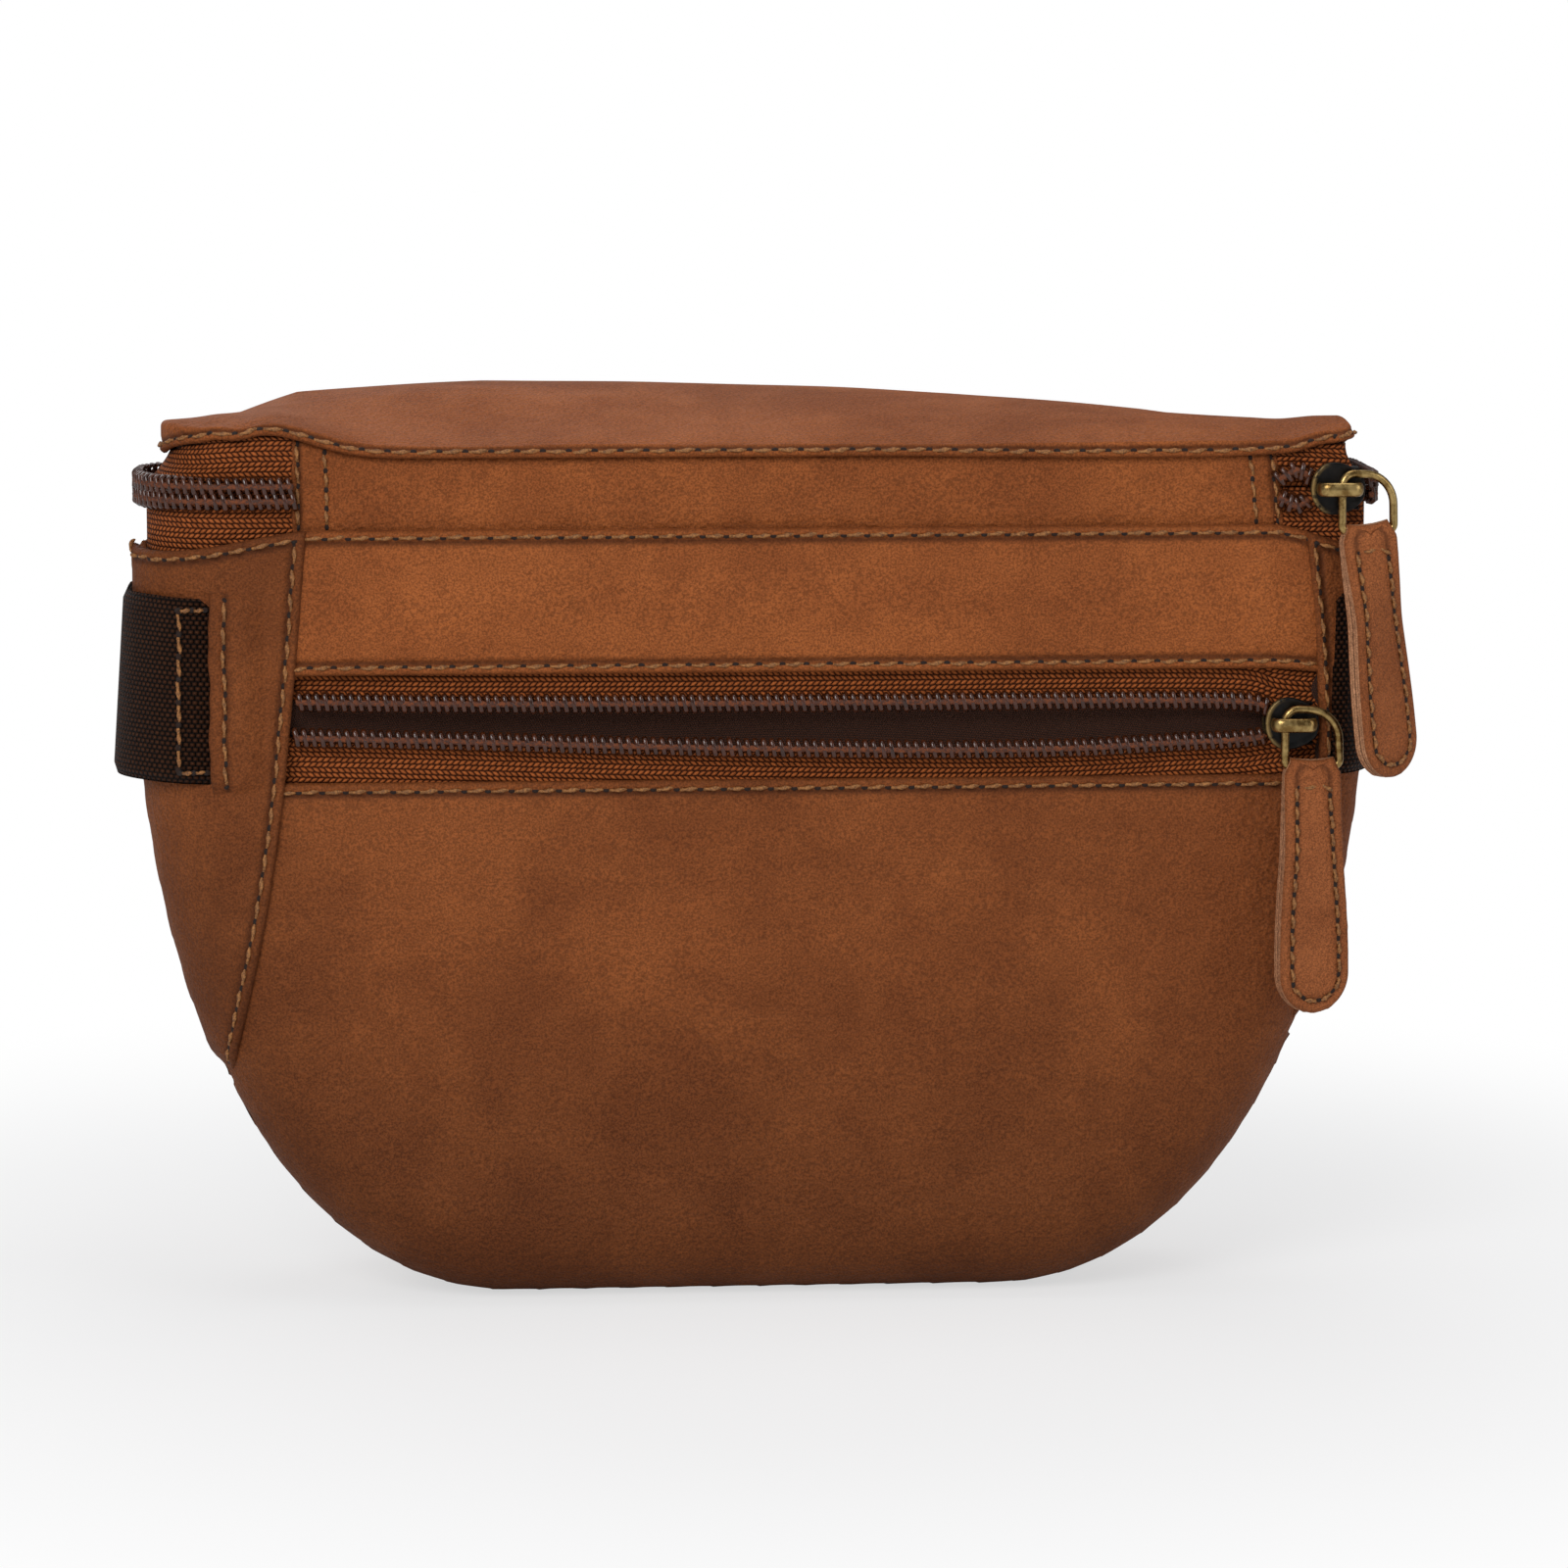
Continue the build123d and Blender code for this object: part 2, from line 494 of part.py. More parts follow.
def pull_ring(leg_x, z):
    """A D of wire: its straight leg passes under the bridge and its far leg hangs outside."""
    right, bottom, top = leg_x + RING_WIDTH, z - RING_BAR, z + RING_TOP
    path = FilletPolyline(
        (leg_x, RING_Y, bottom),
        (leg_x, RING_Y, top),
        (right, RING_Y, top),
        (right, RING_Y, bottom),
        radius=[RING_TIGHT, RING_TIGHT, RING_ROUND, RING_TIGHT],
        close=True,
    )
    section = Plane(origin=path @ 0, z_dir=path % 0) * Circle(RING_WIRE / 2)
    return sweep(section, path=path)


def pull_tab(leg_x, z, lean):
    """Two layers of leather folded over the ring's bar; the rounded foot leans towards +X."""
    bar_x, bar_z = leg_x + RING_WIDTH / 2, z - RING_BAR
    top, low = bar_z + TAB_CAP, bar_z + TAB_CAP - TAB_LENGTH
    cap = RING_WIDTH / 2 - RING_WIRE / 2 - CLEARANCE - TAB_CAP_INSET
    shoulder = bar_z - RING_WIRE / 2 - TAB_CAP_INSET
    foot = TAB_BOTTOM / 2
    outline = [
        Line((bar_x - cap, 0, top), (bar_x + cap, 0, top)),
        Line((bar_x + cap, 0, top), (bar_x + cap, 0, shoulder)),
        Line((bar_x + cap, 0, shoulder), (bar_x + TAB_TOP / 2, 0, shoulder)),
        Line((bar_x + TAB_TOP / 2, 0, shoulder), (bar_x + foot, 0, low + foot)),
        ThreePointArc((bar_x + foot, 0, low + foot), (bar_x, 0, low), (bar_x - foot, 0, low + foot)),
        Line((bar_x - foot, 0, low + foot), (bar_x - TAB_TOP / 2, 0, shoulder)),
        Line((bar_x - TAB_TOP / 2, 0, shoulder), (bar_x - cap, 0, shoulder)),
        Line((bar_x - cap, 0, shoulder), (bar_x - cap, 0, top)),
    ]
    tab = extrude(Pos(0, RING_Y - TAB_THICK / 2, 0) * make_face(outline), amount=TAB_THICK, dir=(0, 1, 0))
    tab = Pos(bar_x, 0, bar_z) * Rot(0, -lean, 0) * Pos(-bar_x, 0, -bar_z) * tab
    hole = Pos(bar_x, RING_Y, bar_z) * Rot(0, 90, 0) * Cylinder(RING_WIRE / 2 + TAB_HOLE_GAP, RING_WIDTH)
    return tab - hole


# ---------------------------------------------------------------- pocket zip
pocket_stop = (-HALF_WIDTH + POCKET_ROWS[0], HALF_WIDTH - POCKET_ROWS[1])
row_half = COIL_HEIGHT / 2
closed_row = row_half + ROW_GAP
nose_x = POCKET_SLIDER_X - SLIDER_LENGTH / 2
nose_row = row_half + POST_RADIUS + ROW_GAP
row_span = nose_x - pocket_stop[0]
row_places = [
    (pocket_stop[0], POCKET_ROW_BOW * 0.65),
    (pocket_stop[0] + row_span * 0.18, POCKET_ROW_BOW * 0.92),
    (pocket_stop[0] + row_span * 0.5, POCKET_ROW_BOW),
    (pocket_stop[0] + row_span * 0.8, POCKET_ROW_BOW * 0.86),
    (nose_x - 4, nose_row + 0.6),
    (nose_x + 2 * POST_RADIUS, nose_row),
    (nose_x + SLIDER_LENGTH * 0.7, closed_row),
    (pocket_stop[1], closed_row),
]


def row_line(side, shift):
    """The centre line of an open row, moved away from the zip's centre line."""
    return Spline(*[(x, 0, POCKET_Z + side * (away + shift)) for x, away in row_places])


def strip(near, far, y, thick):
    """A flat strip between two lines, given its thickness along Y."""
    face = make_face([near, far, Line(near @ 0, far @ 0), Line(near @ 1, far @ 1)])
    return extrude(Pos(0, y, 0) * face, amount=thick, dir=(0, 1, 0))


def pocket_coil(side):
    return strip(row_line(side, -row_half), row_line(side, row_half), COIL_FRONT_Y, COIL_THICK)


def pocket_tape(side, edge_z):
    edge = Line((pocket_stop[0], 0, edge_z), (pocket_stop[1], 0, edge_z))
    return strip(row_line(side, 0), edge, TAPE_Y, TAPE)


# ---------------------------------------------------------------- buckle
def buckle_block(x, depth, height):
    """A box centred on the buckle's middle plane and the belt's centre line."""
    y, z = (BUCKLE_Y - depth / 2, BUCKLE_Y + depth / 2), (BELT_Z - height / 2, BELT_Z + height / 2)
    return block(x, y, z)


def strap_frame(side, root_x):
    """Two arms and the round bar that the webbing loops over; side is -1 or 1."""
    reach = sorted((root_x, side * (BAR_X + BAR_RADIUS)))
    arms = buckle_block(reach, FRAME_DEPTH, BUCKLE_WIDTH)
    arms -= buckle_block((-WIDE, WIDE), BUCKLE_THICK, BUCKLE_WIDTH - 2 * FRAME)
    bar = Pos(side * BAR_X, BUCKLE_Y, BELT_Z) * Cylinder(BAR_RADIUS, BUCKLE_WIDTH - 2 * FRAME)
    return arms + bar


def prong(side):
    """A sprung arm with a hooked head that catches in the socket's side window."""
    z = BELT_Z + side * PRONG_Z
    head_end, head_heel = PRONG_HEAD
    low, high = sorted((z - side * PRONG_THICK / 2, z + side * PRONG_THICK / 2))
    y = (BUCKLE_Y - PRONG_DEPTH / 2, BUCKLE_Y + PRONG_DEPTH / 2)
    root = Pos(PRONG_PIVOT_X, BUCKLE_Y, z) * Rot(90, 0, 0) * Cylinder(PRONG_THICK / 2, PRONG_DEPTH)
    arm = block((head_end + HEAD_CHAMFER, PRONG_PIVOT_X), y, (low, high))
    tip = BELT_Z + side * PRONG_HEAD_REACH
    inner = z - side * PRONG_THICK / 2
    hook = Polyline(
        (head_heel, 0, tip),
        (head_heel, 0, inner),
        (head_end, 0, inner),
        (head_end, 0, inner + side * HEAD_CHAMFER),
        (head_end + 2 * HEAD_CHAMFER, 0, tip),
        close=True,
    )
    head = extrude(Pos(0, y[0], 0) * make_face(hook), amount=PRONG_DEPTH, dir=(0, 1, 0))
    return root + arm + head


def prong_seat(side):
    """Room in the plug for a prong's rounded root and its arm."""
    z = BELT_Z + side * PRONG_Z
    radius = PRONG_THICK / 2 + CLEARANCE
    depth = PRONG_DEPTH + 2 * CLEARANCE
    round_seat = Pos(PRONG_PIVOT_X, BUCKLE_Y, z) * Rot(90, 0, 0) * Cylinder(radius, depth)
    low, high = sorted((z + side * radius, z - side * (radius + PRONG_ROOM)))
    y = (BUCKLE_Y - depth / 2, BUCKLE_Y + depth / 2)
    return round_seat + block((SOCKET_MOUTH, PRONG_PIVOT_X), y, (low, high))


socket_hollow_depth = BUCKLE_THICK - 2 * SOCKET_SKIN
socket_hollow_height = BUCKLE_WIDTH - 2 * SOCKET_WALL
buckle_socket = buckle_block((SOCKET_END, SOCKET_MOUTH), BUCKLE_THICK, BUCKLE_WIDTH)
buckle_socket -= buckle_block((SOCKET_END + SOCKET_WALL, SOCKET_MOUTH), socket_hollow_depth, socket_hollow_height)
window_x = (PRONG_HEAD[0] - WINDOW_PLAY, PRONG_HEAD[1] + WINDOW_PLAY)
buckle_socket -= buckle_block(window_x, socket_hollow_depth, BUCKLE_WIDTH + SOCKET_WALL)
buckle_socket += strap_frame(-1, SOCKET_END)

plug_root = SOCKET_MOUTH + CLEARANCE
plug_end = BAR_X - BAR_TURN - STRAP
buckle_plug = buckle_block((plug_root, plug_end), BUCKLE_THICK, BUCKLE_WIDTH)
buckle_plug -= prong_seat(1) + prong_seat(-1)
tongue_depth = socket_hollow_depth - 2 * CLEARANCE
buckle_plug += buckle_block((PRONG_HEAD[0], plug_root), tongue_depth, TONGUE_HEIGHT)
buckle_plug += strap_frame(1, plug_end)

# ---------------------------------------------------------------- keeper
keeper_x = BAR_X + SEWN_OVER + KEEPER_START
keeper_y = right_end[0][1] - (keeper_x - BAR_X - BAR_RUN) * right_slope
keeper_hollow = Box(KEEPER_LENGTH + 1, STRAP + 2 * CLEARANCE, WEBBING + 2 * CLEARANCE)
keeper_outer = Box(
    KEEPER_LENGTH,
    STRAP + 2 * CLEARANCE + 2 * KEEPER_WALL,
    WEBBING + 2 * CLEARANCE + 2 * KEEPER_WALL,
)
belt_keeper = Pos(keeper_x, keeper_y, BELT_Z) * Rot(0, 0, -right_lean) * (keeper_outer - keeper_hollow)

# ---------------------------------------------------------------- parts
save(lid_panel, "lid_panel")
save(lid_lining, "lid_lining")
save(hinge_band, "hinge_band")
save(near_panel_upper, "near_panel_upper")
save(near_panel_lower, "near_panel_lower")
save(wing_left, "wing_left")
save(wing_right, "wing_right")
save(far_panel, "far_panel")
save(lining_main, "lining_main")
save(lining_pocket, "lining_pocket")

save(main_tape_body, "main_tape_body")
save(main_coil_body, "main_coil_body")
save(main_tape_lid, "main_tape_lid")
save(main_coil_lid, "main_coil_lid")
save(tape_ends & left_part, "main_tape_end_left")
save(tape_ends - left_part, "main_tape_end_right")
save(coil_ends & left_part, "main_coil_end_left")
save(coil_ends - left_part, "main_coil_end_right")

save(pocket_tape(1, POCKET_HIGH + TAPE_TUCK), "pocket_tape_upper")
save(pocket_tape(-1, POCKET_LOW - TAPE_TUCK), "pocket_tape_lower")
save(pocket_coil(1), "pocket_coil_upper")
save(pocket_coil(-1), "pocket_coil_lower")

for zip_name, slider_x, slider_z in (
    ("pocket", POCKET_SLIDER_X, POCKET_Z),
    ("main", MAIN_SLIDER_X, MAIN_Z),
):
    leg_x = slider_x + LEG_OFFSETS[zip_name]
    save(slider_body(slider_x, slider_z), f"{zip_name}_slider")
    save(pull_ring(leg_x, slider_z), f"{zip_name}_ring")
    save(pull_tab(leg_x, slider_z, TAB_LEANS[zip_name]), f"{zip_name}_tab")

save(belt_left, "belt_left")
save(belt_right, "belt_right")
save(buckle_socket, "buckle_socket")
save(buckle_plug, "buckle_plug")
save(prong(1), "prong_upper")
save(prong(-1), "prong_lower")
save(belt_keeper, "belt_keeper")
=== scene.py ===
import bmesh
import bpy
import math
import numpy as np
from mathutils import Matrix, Vector


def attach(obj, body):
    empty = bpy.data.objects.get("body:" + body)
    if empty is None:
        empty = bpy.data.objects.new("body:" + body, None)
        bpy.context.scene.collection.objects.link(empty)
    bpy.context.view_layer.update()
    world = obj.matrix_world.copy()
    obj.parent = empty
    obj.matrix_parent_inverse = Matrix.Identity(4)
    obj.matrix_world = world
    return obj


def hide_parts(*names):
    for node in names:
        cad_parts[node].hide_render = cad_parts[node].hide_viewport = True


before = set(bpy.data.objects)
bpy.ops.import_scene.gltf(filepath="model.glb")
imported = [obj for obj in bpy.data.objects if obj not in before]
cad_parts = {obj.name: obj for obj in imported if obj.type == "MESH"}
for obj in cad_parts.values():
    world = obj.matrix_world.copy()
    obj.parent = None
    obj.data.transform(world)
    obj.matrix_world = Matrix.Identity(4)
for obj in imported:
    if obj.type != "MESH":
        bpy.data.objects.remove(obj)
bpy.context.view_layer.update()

mm = 0.001
rng = np.random.default_rng(11)

# the pack's form in millimetres, as the CAD has it
pack = {
    "halfWidth": 125.5, "nearY": -34.0, "farY": 36.0, "farRadius": 235.0,
    "baseHalf": 50.0, "baseHandle": 42.0, "sideHandle": 90.0, "shoulderZ": 140.0,
    "bodyTop": 159.5, "seamY": -12.0, "lipZ": 173.8, "mainZ": 166.9,
    "rimLeft": 20.0, "rimBase": 17.0, "rimRight": 13.0, "rimFar": 15.0,
    "bulge": 2.0,          # swell of the near side
    "sag": 0.45,           # slow unevenness of the leather
}
pack["farCentre"] = pack["farY"] - pack["farRadius"]


def smooth(t):
    t = np.clip(t, 0, 1)
    return t * t * (3 - 2 * t)


def bezierPoints(a, b, c, d, count):
    t = np.linspace(0, 1, count)[:, None]
    a, b, c, d = (np.array(p, float) for p in (a, b, c, d))
    return a * (1 - t) ** 3 + 3 * b * t * (1 - t) ** 2 + 3 * c * t * t * (1 - t) + d * t ** 3


def runOf(points):
    steps = np.linalg.norm(np.diff(points, axis=0), axis=1)
    return np.concatenate([[0], np.cumsum(steps)])


def sampled(values, run, wanted):
    return np.stack([np.interp(wanted, run, values[:, k]) for k in range(values.shape[1])], axis=1)


def atRuns(points, wanted):
    return sampled(points, runOf(points), wanted)


def evenPoints(points, count):
    return atRuns(points, np.linspace(0, runOf(points)[-1], count))


def curveThrough(points, count):
    # a Catmull-Rom curve, evenly spaced
    p = np.array(points, float)
    p = np.vstack([2 * p[0] - p[1], p, 2 * p[-1] - p[-2]])
    t = np.linspace(0, 1, 16, endpoint=False)[:, None]
    parts = []
    for a, b, c, d in zip(p, p[1:], p[2:], p[3:]):
        parts.append(0.5 * (2 * b + (c - a) * t + (2 * a - 5 * b + 4 * c - d) * t ** 2
                            + (3 * b - a - 3 * c + d) * t ** 3))
    return evenPoints(np.vstack(parts + [p[-2:-1]]), count)


def filletRoute(route, bends, closed=False):
    # straight runs joined by tangent arcs
    route = [np.array(p, float) for p in route]
    if closed:
        corners = list(zip(route[-1:] + route[:-1], route, route[1:] + route[:1], bends))
        out = []
    else:
        corners = list(zip(route, route[1:], route[2:], bends))
        out = [route[0]]
    for before, at, after, radius in corners:
        into = (at - before) / np.linalg.norm(at - before)
        away = (after - at) / np.linalg.norm(after - at)
        turn = math.acos(max(-1.0, min(1.0, float(into @ away))))
        cut = radius * math.tan(turn / 2)
        start, inward = at - into * cut, away - into * float(into @ away)
        inward = inward / np.linalg.norm(inward)
        centre = start + inward * radius
        for s in np.linspace(0, 1, max(4, int(turn * 8)) + 1):
            out.append(centre - inward * radius * math.cos(turn * s) + into * radius * math.sin(turn * s))
    if not closed:
        out.append(route[-1])
    return np.array(out)


def softNoise(x, z, size, seed):
    # slow waves running in several directions
    waves = 7
    r = np.random.default_rng(seed)
    total = np.zeros(np.shape(x))
    for _ in range(waves):
        angle, phase, stretch = r.uniform(0, math.tau), r.uniform(0, math.tau), r.uniform(0.7, 1.6)
        reach = x * math.cos(angle) + z * math.sin(angle)
        total = total + np.sin(reach * math.tau / (size * stretch) + phase)
    return total / waves


def coons(bottom, top, left, right, us, vs):
    # bottom and top run along u, left and right run along v
    def at(line, t):
        n = len(line) - 1
        columns = [np.interp(t * n, np.arange(n + 1), line[:, k]) for k in range(line.shape[1])]
        return np.stack(columns, axis=-1)
    b, t = at(bottom, us)[:, None], at(top, us)[:, None]
    l, r = at(left, vs)[None], at(right, vs)[None]
    u, v = us[:, None, None], vs[None, :, None]
    lowCorners = (1 - u) * (1 - v) * bottom[0] + u * (1 - v) * bottom[-1]
    highCorners = (1 - u) * v * top[0] + u * v * top[-1]
    return (1 - v) * b + v * t + (1 - u) * l + u * r - lowCorners - highCorners


def spaced(length, foldedStart, foldedEnd, step):
    # fractions along a length, close together at folded edges
    fine = [0, 0.08, 0.25, 0.55, 0.9, 1.3, 1.7, 2.1, 2.5, 2.9, 3.3, 3.9, 5.0]
    coarse = [0, 2.0]
    head = fine if foldedStart else coarse
    tail = fine if foldedEnd else coarse
    middle = np.arange(head[-1] + step, length - tail[-1] - step * 0.4, step)
    return np.unique(np.concatenate([head, middle, length - np.array(tail)])) / length


def gridNormals(grid, wrap, flatRings=2):
    if wrap:
        padded = np.concatenate([grid[-1:], grid, grid[:1]], axis=0)
        du = np.gradient(padded, axis=0)[1:-1]
    else:
        du = np.gradient(grid, axis=0)
    dv = np.gradient(grid, axis=1)
    n = np.cross(du, dv)
    size = np.linalg.norm(n, axis=2, keepdims=True)
    n = n / np.maximum(size, 1e-9)
    for i, j in zip(*np.nonzero(size[..., 0] < 1e-6)):
        near = n[max(i - 1, 0):i + 2, max(j - 1, 0):j + 2].reshape(-1, 3)
        s = near[np.linalg.norm(near, axis=1) > 0.5].sum(axis=0)
        n[i, j] = s / max(np.linalg.norm(s), 1e-9)
    if wrap:
        last = n[:, -1].sum(axis=0)
        n[:, -flatRings:] = last / np.linalg.norm(last)
    return n


def edgeRuns(grid):
    du = np.linalg.norm(np.diff(grid, axis=0), axis=2)
    dv = np.linalg.norm(np.diff(grid, axis=1), axis=2)
    u0 = np.vstack([np.zeros((1, grid.shape[1])), np.cumsum(du, axis=0)])
    v0 = np.hstack([np.zeros((grid.shape[0], 1)), np.cumsum(dv, axis=1)])
    return {"u0": u0, "u1": u0[-1:] - u0, "v0": v0, "v1": v0[:, -1:] - v0}


def meshPiece(name, verts, faces, material, attributes=None):
    mesh = bpy.data.meshes.new(name)
    mesh.from_pydata([tuple(p) for p in np.asarray(verts, float) * mm], [], faces)
    for key, values in (attributes or {}).items():
        layer = mesh.attributes.new(key, "FLOAT", "POINT")
        layer.data.foreach_set("value", np.asarray(values, np.float32).ravel())
    work = bmesh.new()
    work.from_mesh(mesh)
    bmesh.ops.remove_doubles(work, verts=work.verts, dist=2e-6)
    bmesh.ops.dissolve_degenerate(work, edges=work.edges, dist=1e-7)
    bmesh.ops.recalc_face_normals(work, faces=work.faces)
    work.to_mesh(mesh)
    work.free()
    mesh.shade_smooth()
    mesh.materials.append(material)
    piece = bpy.data.objects.new(name, mesh)
    bpy.context.scene.collection.objects.link(piece)
    return piece


def joined(name, parts):
    # several pieces become one mesh
    mesh = bpy.data.meshes.new(name)
    work = bmesh.new()
    materials = []
    for part in parts:
        offset = len(materials)
        materials += list(part.data.materials)
        start = len(work.faces)
        work.from_mesh(part.data)
        work.faces.ensure_lookup_table()
        for face in work.faces[start:]:
            face.material_index += offset
    work.to_mesh(mesh)
    work.free()
    for material in materials:
        mesh.materials.append(material)
    piece = bpy.data.objects.new(name, mesh)
    bpy.context.scene.collection.objects.link(piece)
    for part in parts:
        bpy.data.objects.remove(part, do_unlink=True)
    return piece


def gridFaces(n, m, wrapU=False, wrapV=False, offset=0, flip=False):
    faces = []
    for i in range(n if wrapU else n - 1):
        for j in range(m if wrapV else m - 1):
            a, b = i * m + j, ((i + 1) % n) * m + j
            c, d = ((i + 1) % n) * m + (j + 1) % m, i * m + (j + 1) % m
            quad = (a + offset, b + offset, c + offset, d + offset)
            faces.append(quad[::-1] if flip else quad)
    return faces


def radialWhereWeak(grid, normals, centre):
    # where the grid lines run together the normal points away from the middle
    leastSine = 0.3
    du, dv = np.gradient(grid, axis=0), np.gradient(grid, axis=1)
    spread = np.linalg.norm(np.cross(du, dv), axis=2)
    weak = spread <= leastSine * np.linalg.norm(du, axis=2) * np.linalg.norm(dv, axis=2)
    away = grid - np.array(centre)
    away = away / np.linalg.norm(away, axis=2, keepdims=True)
    normals[weak] = away[weak]
    return normals


def sheetPiece(name, grid, material, folds=(), thick=1.7, lift=0.0, groove=2.6, puff=0.22,
               depth=0.28, wrap=False, centre=(0, 0, 90), toneAndPaintedLight=None, steady=0, flatRings=2, spine=False,
               radial=False):
    # a grid given a thickness, with rolled edges and a hollow along the stitch line:
    # folds are the rolled sides, wrap joins the first and last rows, steady copies a
    # normal over the first columns, spine leaves a last ring that is folded on itself open
    farAway, grooveWide, nearEdgeWide = 1e3, 0.65, 0.9
    n, m = grid.shape[:2]
    normals = gridNormals(grid, wrap, flatRings)
    if steady:
        normals[:, :steady] = normals[:, steady:steady + 1]
    if ((grid - np.array(centre)) * normals).sum() < 0:
        normals = -normals
    if radial:
        normals = radialWhereWeak(grid, normals, centre)
    runs = edgeRuns(grid)
    run = np.full((n, m), farAway)
    for edge in folds:
        run = np.minimum(run, runs[edge])
    half = thick / 2
    rolled = np.sqrt(np.clip(1 - (1 - np.clip(run / half, 0, 1)) ** 2, 0, 1))
    swell = puff * np.exp(-((run - groove * 0.4) / 0.8) ** 2)
    pleat = swell - depth * np.exp(-((run - groove) / grooveWide) ** 2)
    up = np.full((n, m), lift) if np.isscalar(lift) else lift
    outer = grid + normals * (up - half + half * rolled + pleat)[..., None]
    inner = grid + normals * (up - half - half * rolled)[..., None]
    verts = np.vstack([outer.reshape(-1, 3), inner.reshape(-1, 3)])
    total = n * m
    faces = gridFaces(n, m, wrapU=wrap) + gridFaces(n, m, wrapU=wrap, offset=total, flip=True)
    index = np.arange(total).reshape(n, m)
    if wrap:
        loops = [list(index[:, 0])] if spine else [list(index[:, 0]), list(index[::-1, -1])]
    else:
        there = list(index[:, 0]) + list(index[-1, 1:])
        loops = [there + list(index[-2::-1, -1]) + list(index[0, -2:0:-1])]
    for loop in loops:
        for a, b in zip(loop, loop[1:] + loop[:1]):
            faces.append((b, a, a + total, b + total))

    def both(values):
        return np.concatenate([np.ravel(values), np.ravel(values)])
    shade = np.ones((n, m)) if toneAndPaintedLight is None else np.broadcast_to(toneAndPaintedLight, (n, m))
    # the attributes mark the rolled edges, the painted shade of the stitch hollow, and each piece's tone
    # together with its painted light and shade
    attributes = {
        "nearEdge": both(np.exp(-np.clip(run, 0, 30) / nearEdgeWide)),
        "grooveShade": both(np.exp(-((run - groove) / 0.62) ** 2)),
        "toneAndPaintedLight": both(shade),
        "along": both(runs["u0"]), "across": both(runs["v0"]),
    }
    piece = meshPiece(name, verts, faces, material, attributes)
    return piece, outer, normals, edgeRuns(outer)


def tubePiece(name, path, material, radiusA, radiusB=None, sides=12, closed=False, up=(0, 0, 1)):
    # a section swept along a path; radiusA lies across the path and up, radiusB lies along up
    path = np.asarray(path, float)
    radiusB = radiusA if radiusB is None else radiusB
    tangent = np.roll(path, -1, 0) - np.roll(path, 1, 0) if closed else np.gradient(path, axis=0)
    tangent = tangent / np.linalg.norm(tangent, axis=1, keepdims=True)
    up = np.broadcast_to(np.array(up, float), path.shape)
    side = np.cross(tangent, up)
    side = side / np.linalg.norm(side, axis=1, keepdims=True)
    over = np.cross(side, tangent)
    angles = np.linspace(0, math.tau, sides, endpoint=False)[None, :, None]
    ra = np.broadcast_to(radiusA, (len(path),))[:, None, None]
    rb = np.broadcast_to(radiusB, (len(path),))[:, None, None]
    ring = path[:, None] + side[:, None] * np.cos(angles) * ra + over[:, None] * np.sin(angles) * rb
    faces = gridFaces(len(path), sides, wrapU=closed, wrapV=True)
    if not closed:
        last = (len(path) - 1) * sides
        faces += [tuple(range(sides)), tuple(last + k for k in range(sides))[::-1]]
    return meshPiece(name, ring.reshape(-1, 3), faces, material)


def ringStack(outline, levels):
    # levels are (inset, y, rim): closed outlines in XZ drawn in by the inset, at depth y;
    # the worn rim is kept to the left edge
    rimStart, rimReach, rimMost = -0.25, 5.5, 0.75
    outline = np.asarray(outline, float)
    tangent = np.roll(outline, -1, 0) - np.roll(outline, 1, 0)
    tangent = tangent / np.linalg.norm(tangent, axis=1, keepdims=True)
    inward = np.stack([-tangent[:, 1], tangent[:, 0]], axis=1)
    if (inward * (outline.mean(axis=0) - outline)).sum() < 0:
        inward = -inward
    rings, rims = [], []
    for inset, y, rim in levels:
        flat = outline + inward * inset
        rings.append(np.stack([flat[:, 0], np.full(len(flat), y), flat[:, 1]], axis=1))
        right = flat[:, 0] - outline[:, 0].mean()
        rims.append(rim * np.clip(rimStart - right / rimReach, 0, rimMost))
    verts = np.vstack(rings)
    count = len(outline)
    faces = gridFaces(len(rings), count, wrapV=True)
    last = (len(rings) - 1) * count
    faces += [tuple(range(count)), tuple(last + k for k in range(count))[::-1]]
    return verts, faces, np.concatenate(rims)


def newGroup(name, outputs, inputs=()):
    group = bpy.data.node_groups.new(name, "ShaderNodeTree")
    for key, kind, value in inputs:
        socket = group.interface.new_socket(key, in_out="INPUT", socket_type=kind)
        socket.default_value = value
    for key, kind in outputs:
        group.interface.new_socket(key, in_out="OUTPUT", socket_type=kind)
    start, end = group.nodes.new("NodeGroupInput"), group.nodes.new("NodeGroupOutput")
    start.location, end.location = (-900, 0), (600, 0)
    return group, start, end


def node(tree, kind, links=None, **settings):
    made = tree.nodes.new(kind)
    for key, value in settings.items():
        setattr(made, key, value)
    for key, value in (links or {}).items():
        socket = made.inputs[key]
        if isinstance(value, bpy.types.NodeSocket):
            tree.links.new(value, socket)
        else:
            socket.default_value = value
    return made


def mathNode(tree, operation, *values):
    made = tree.nodes.new("ShaderNodeMath")
    made.operation = operation
    for k, value in enumerate(values):
        if isinstance(value, bpy.types.NodeSocket):
            tree.links.new(value, made.inputs[k])
        else:
            made.inputs[k].default_value = value
    return made.outputs[0]


def mixColour(tree, factor, a, b, blend="MIX"):
    made = tree.nodes.new("ShaderNodeMix")
    made.data_type, made.blend_type = "RGBA", blend
    for key, value in ((0, factor), (6, a), (7, b)):
        if isinstance(value, bpy.types.NodeSocket):
            tree.links.new(value, made.inputs[key])
        else:
            made.inputs[key].default_value = value if key == 0 else (*value, 1)
    return made.outputs[2]


def ranged(tree, value, low, high, toLow=0.0, toHigh=1.0):
    made = tree.nodes.new("ShaderNodeMapRange")
    made.interpolation_type = "SMOOTHSTEP"
    tree.links.new(value, made.inputs["Value"])
    for key, number in (("From Min", low), ("From Max", high), ("To Min", toLow), ("To Max", toHigh)):
        made.inputs[key].default_value = number
    return made.outputs["Result"]


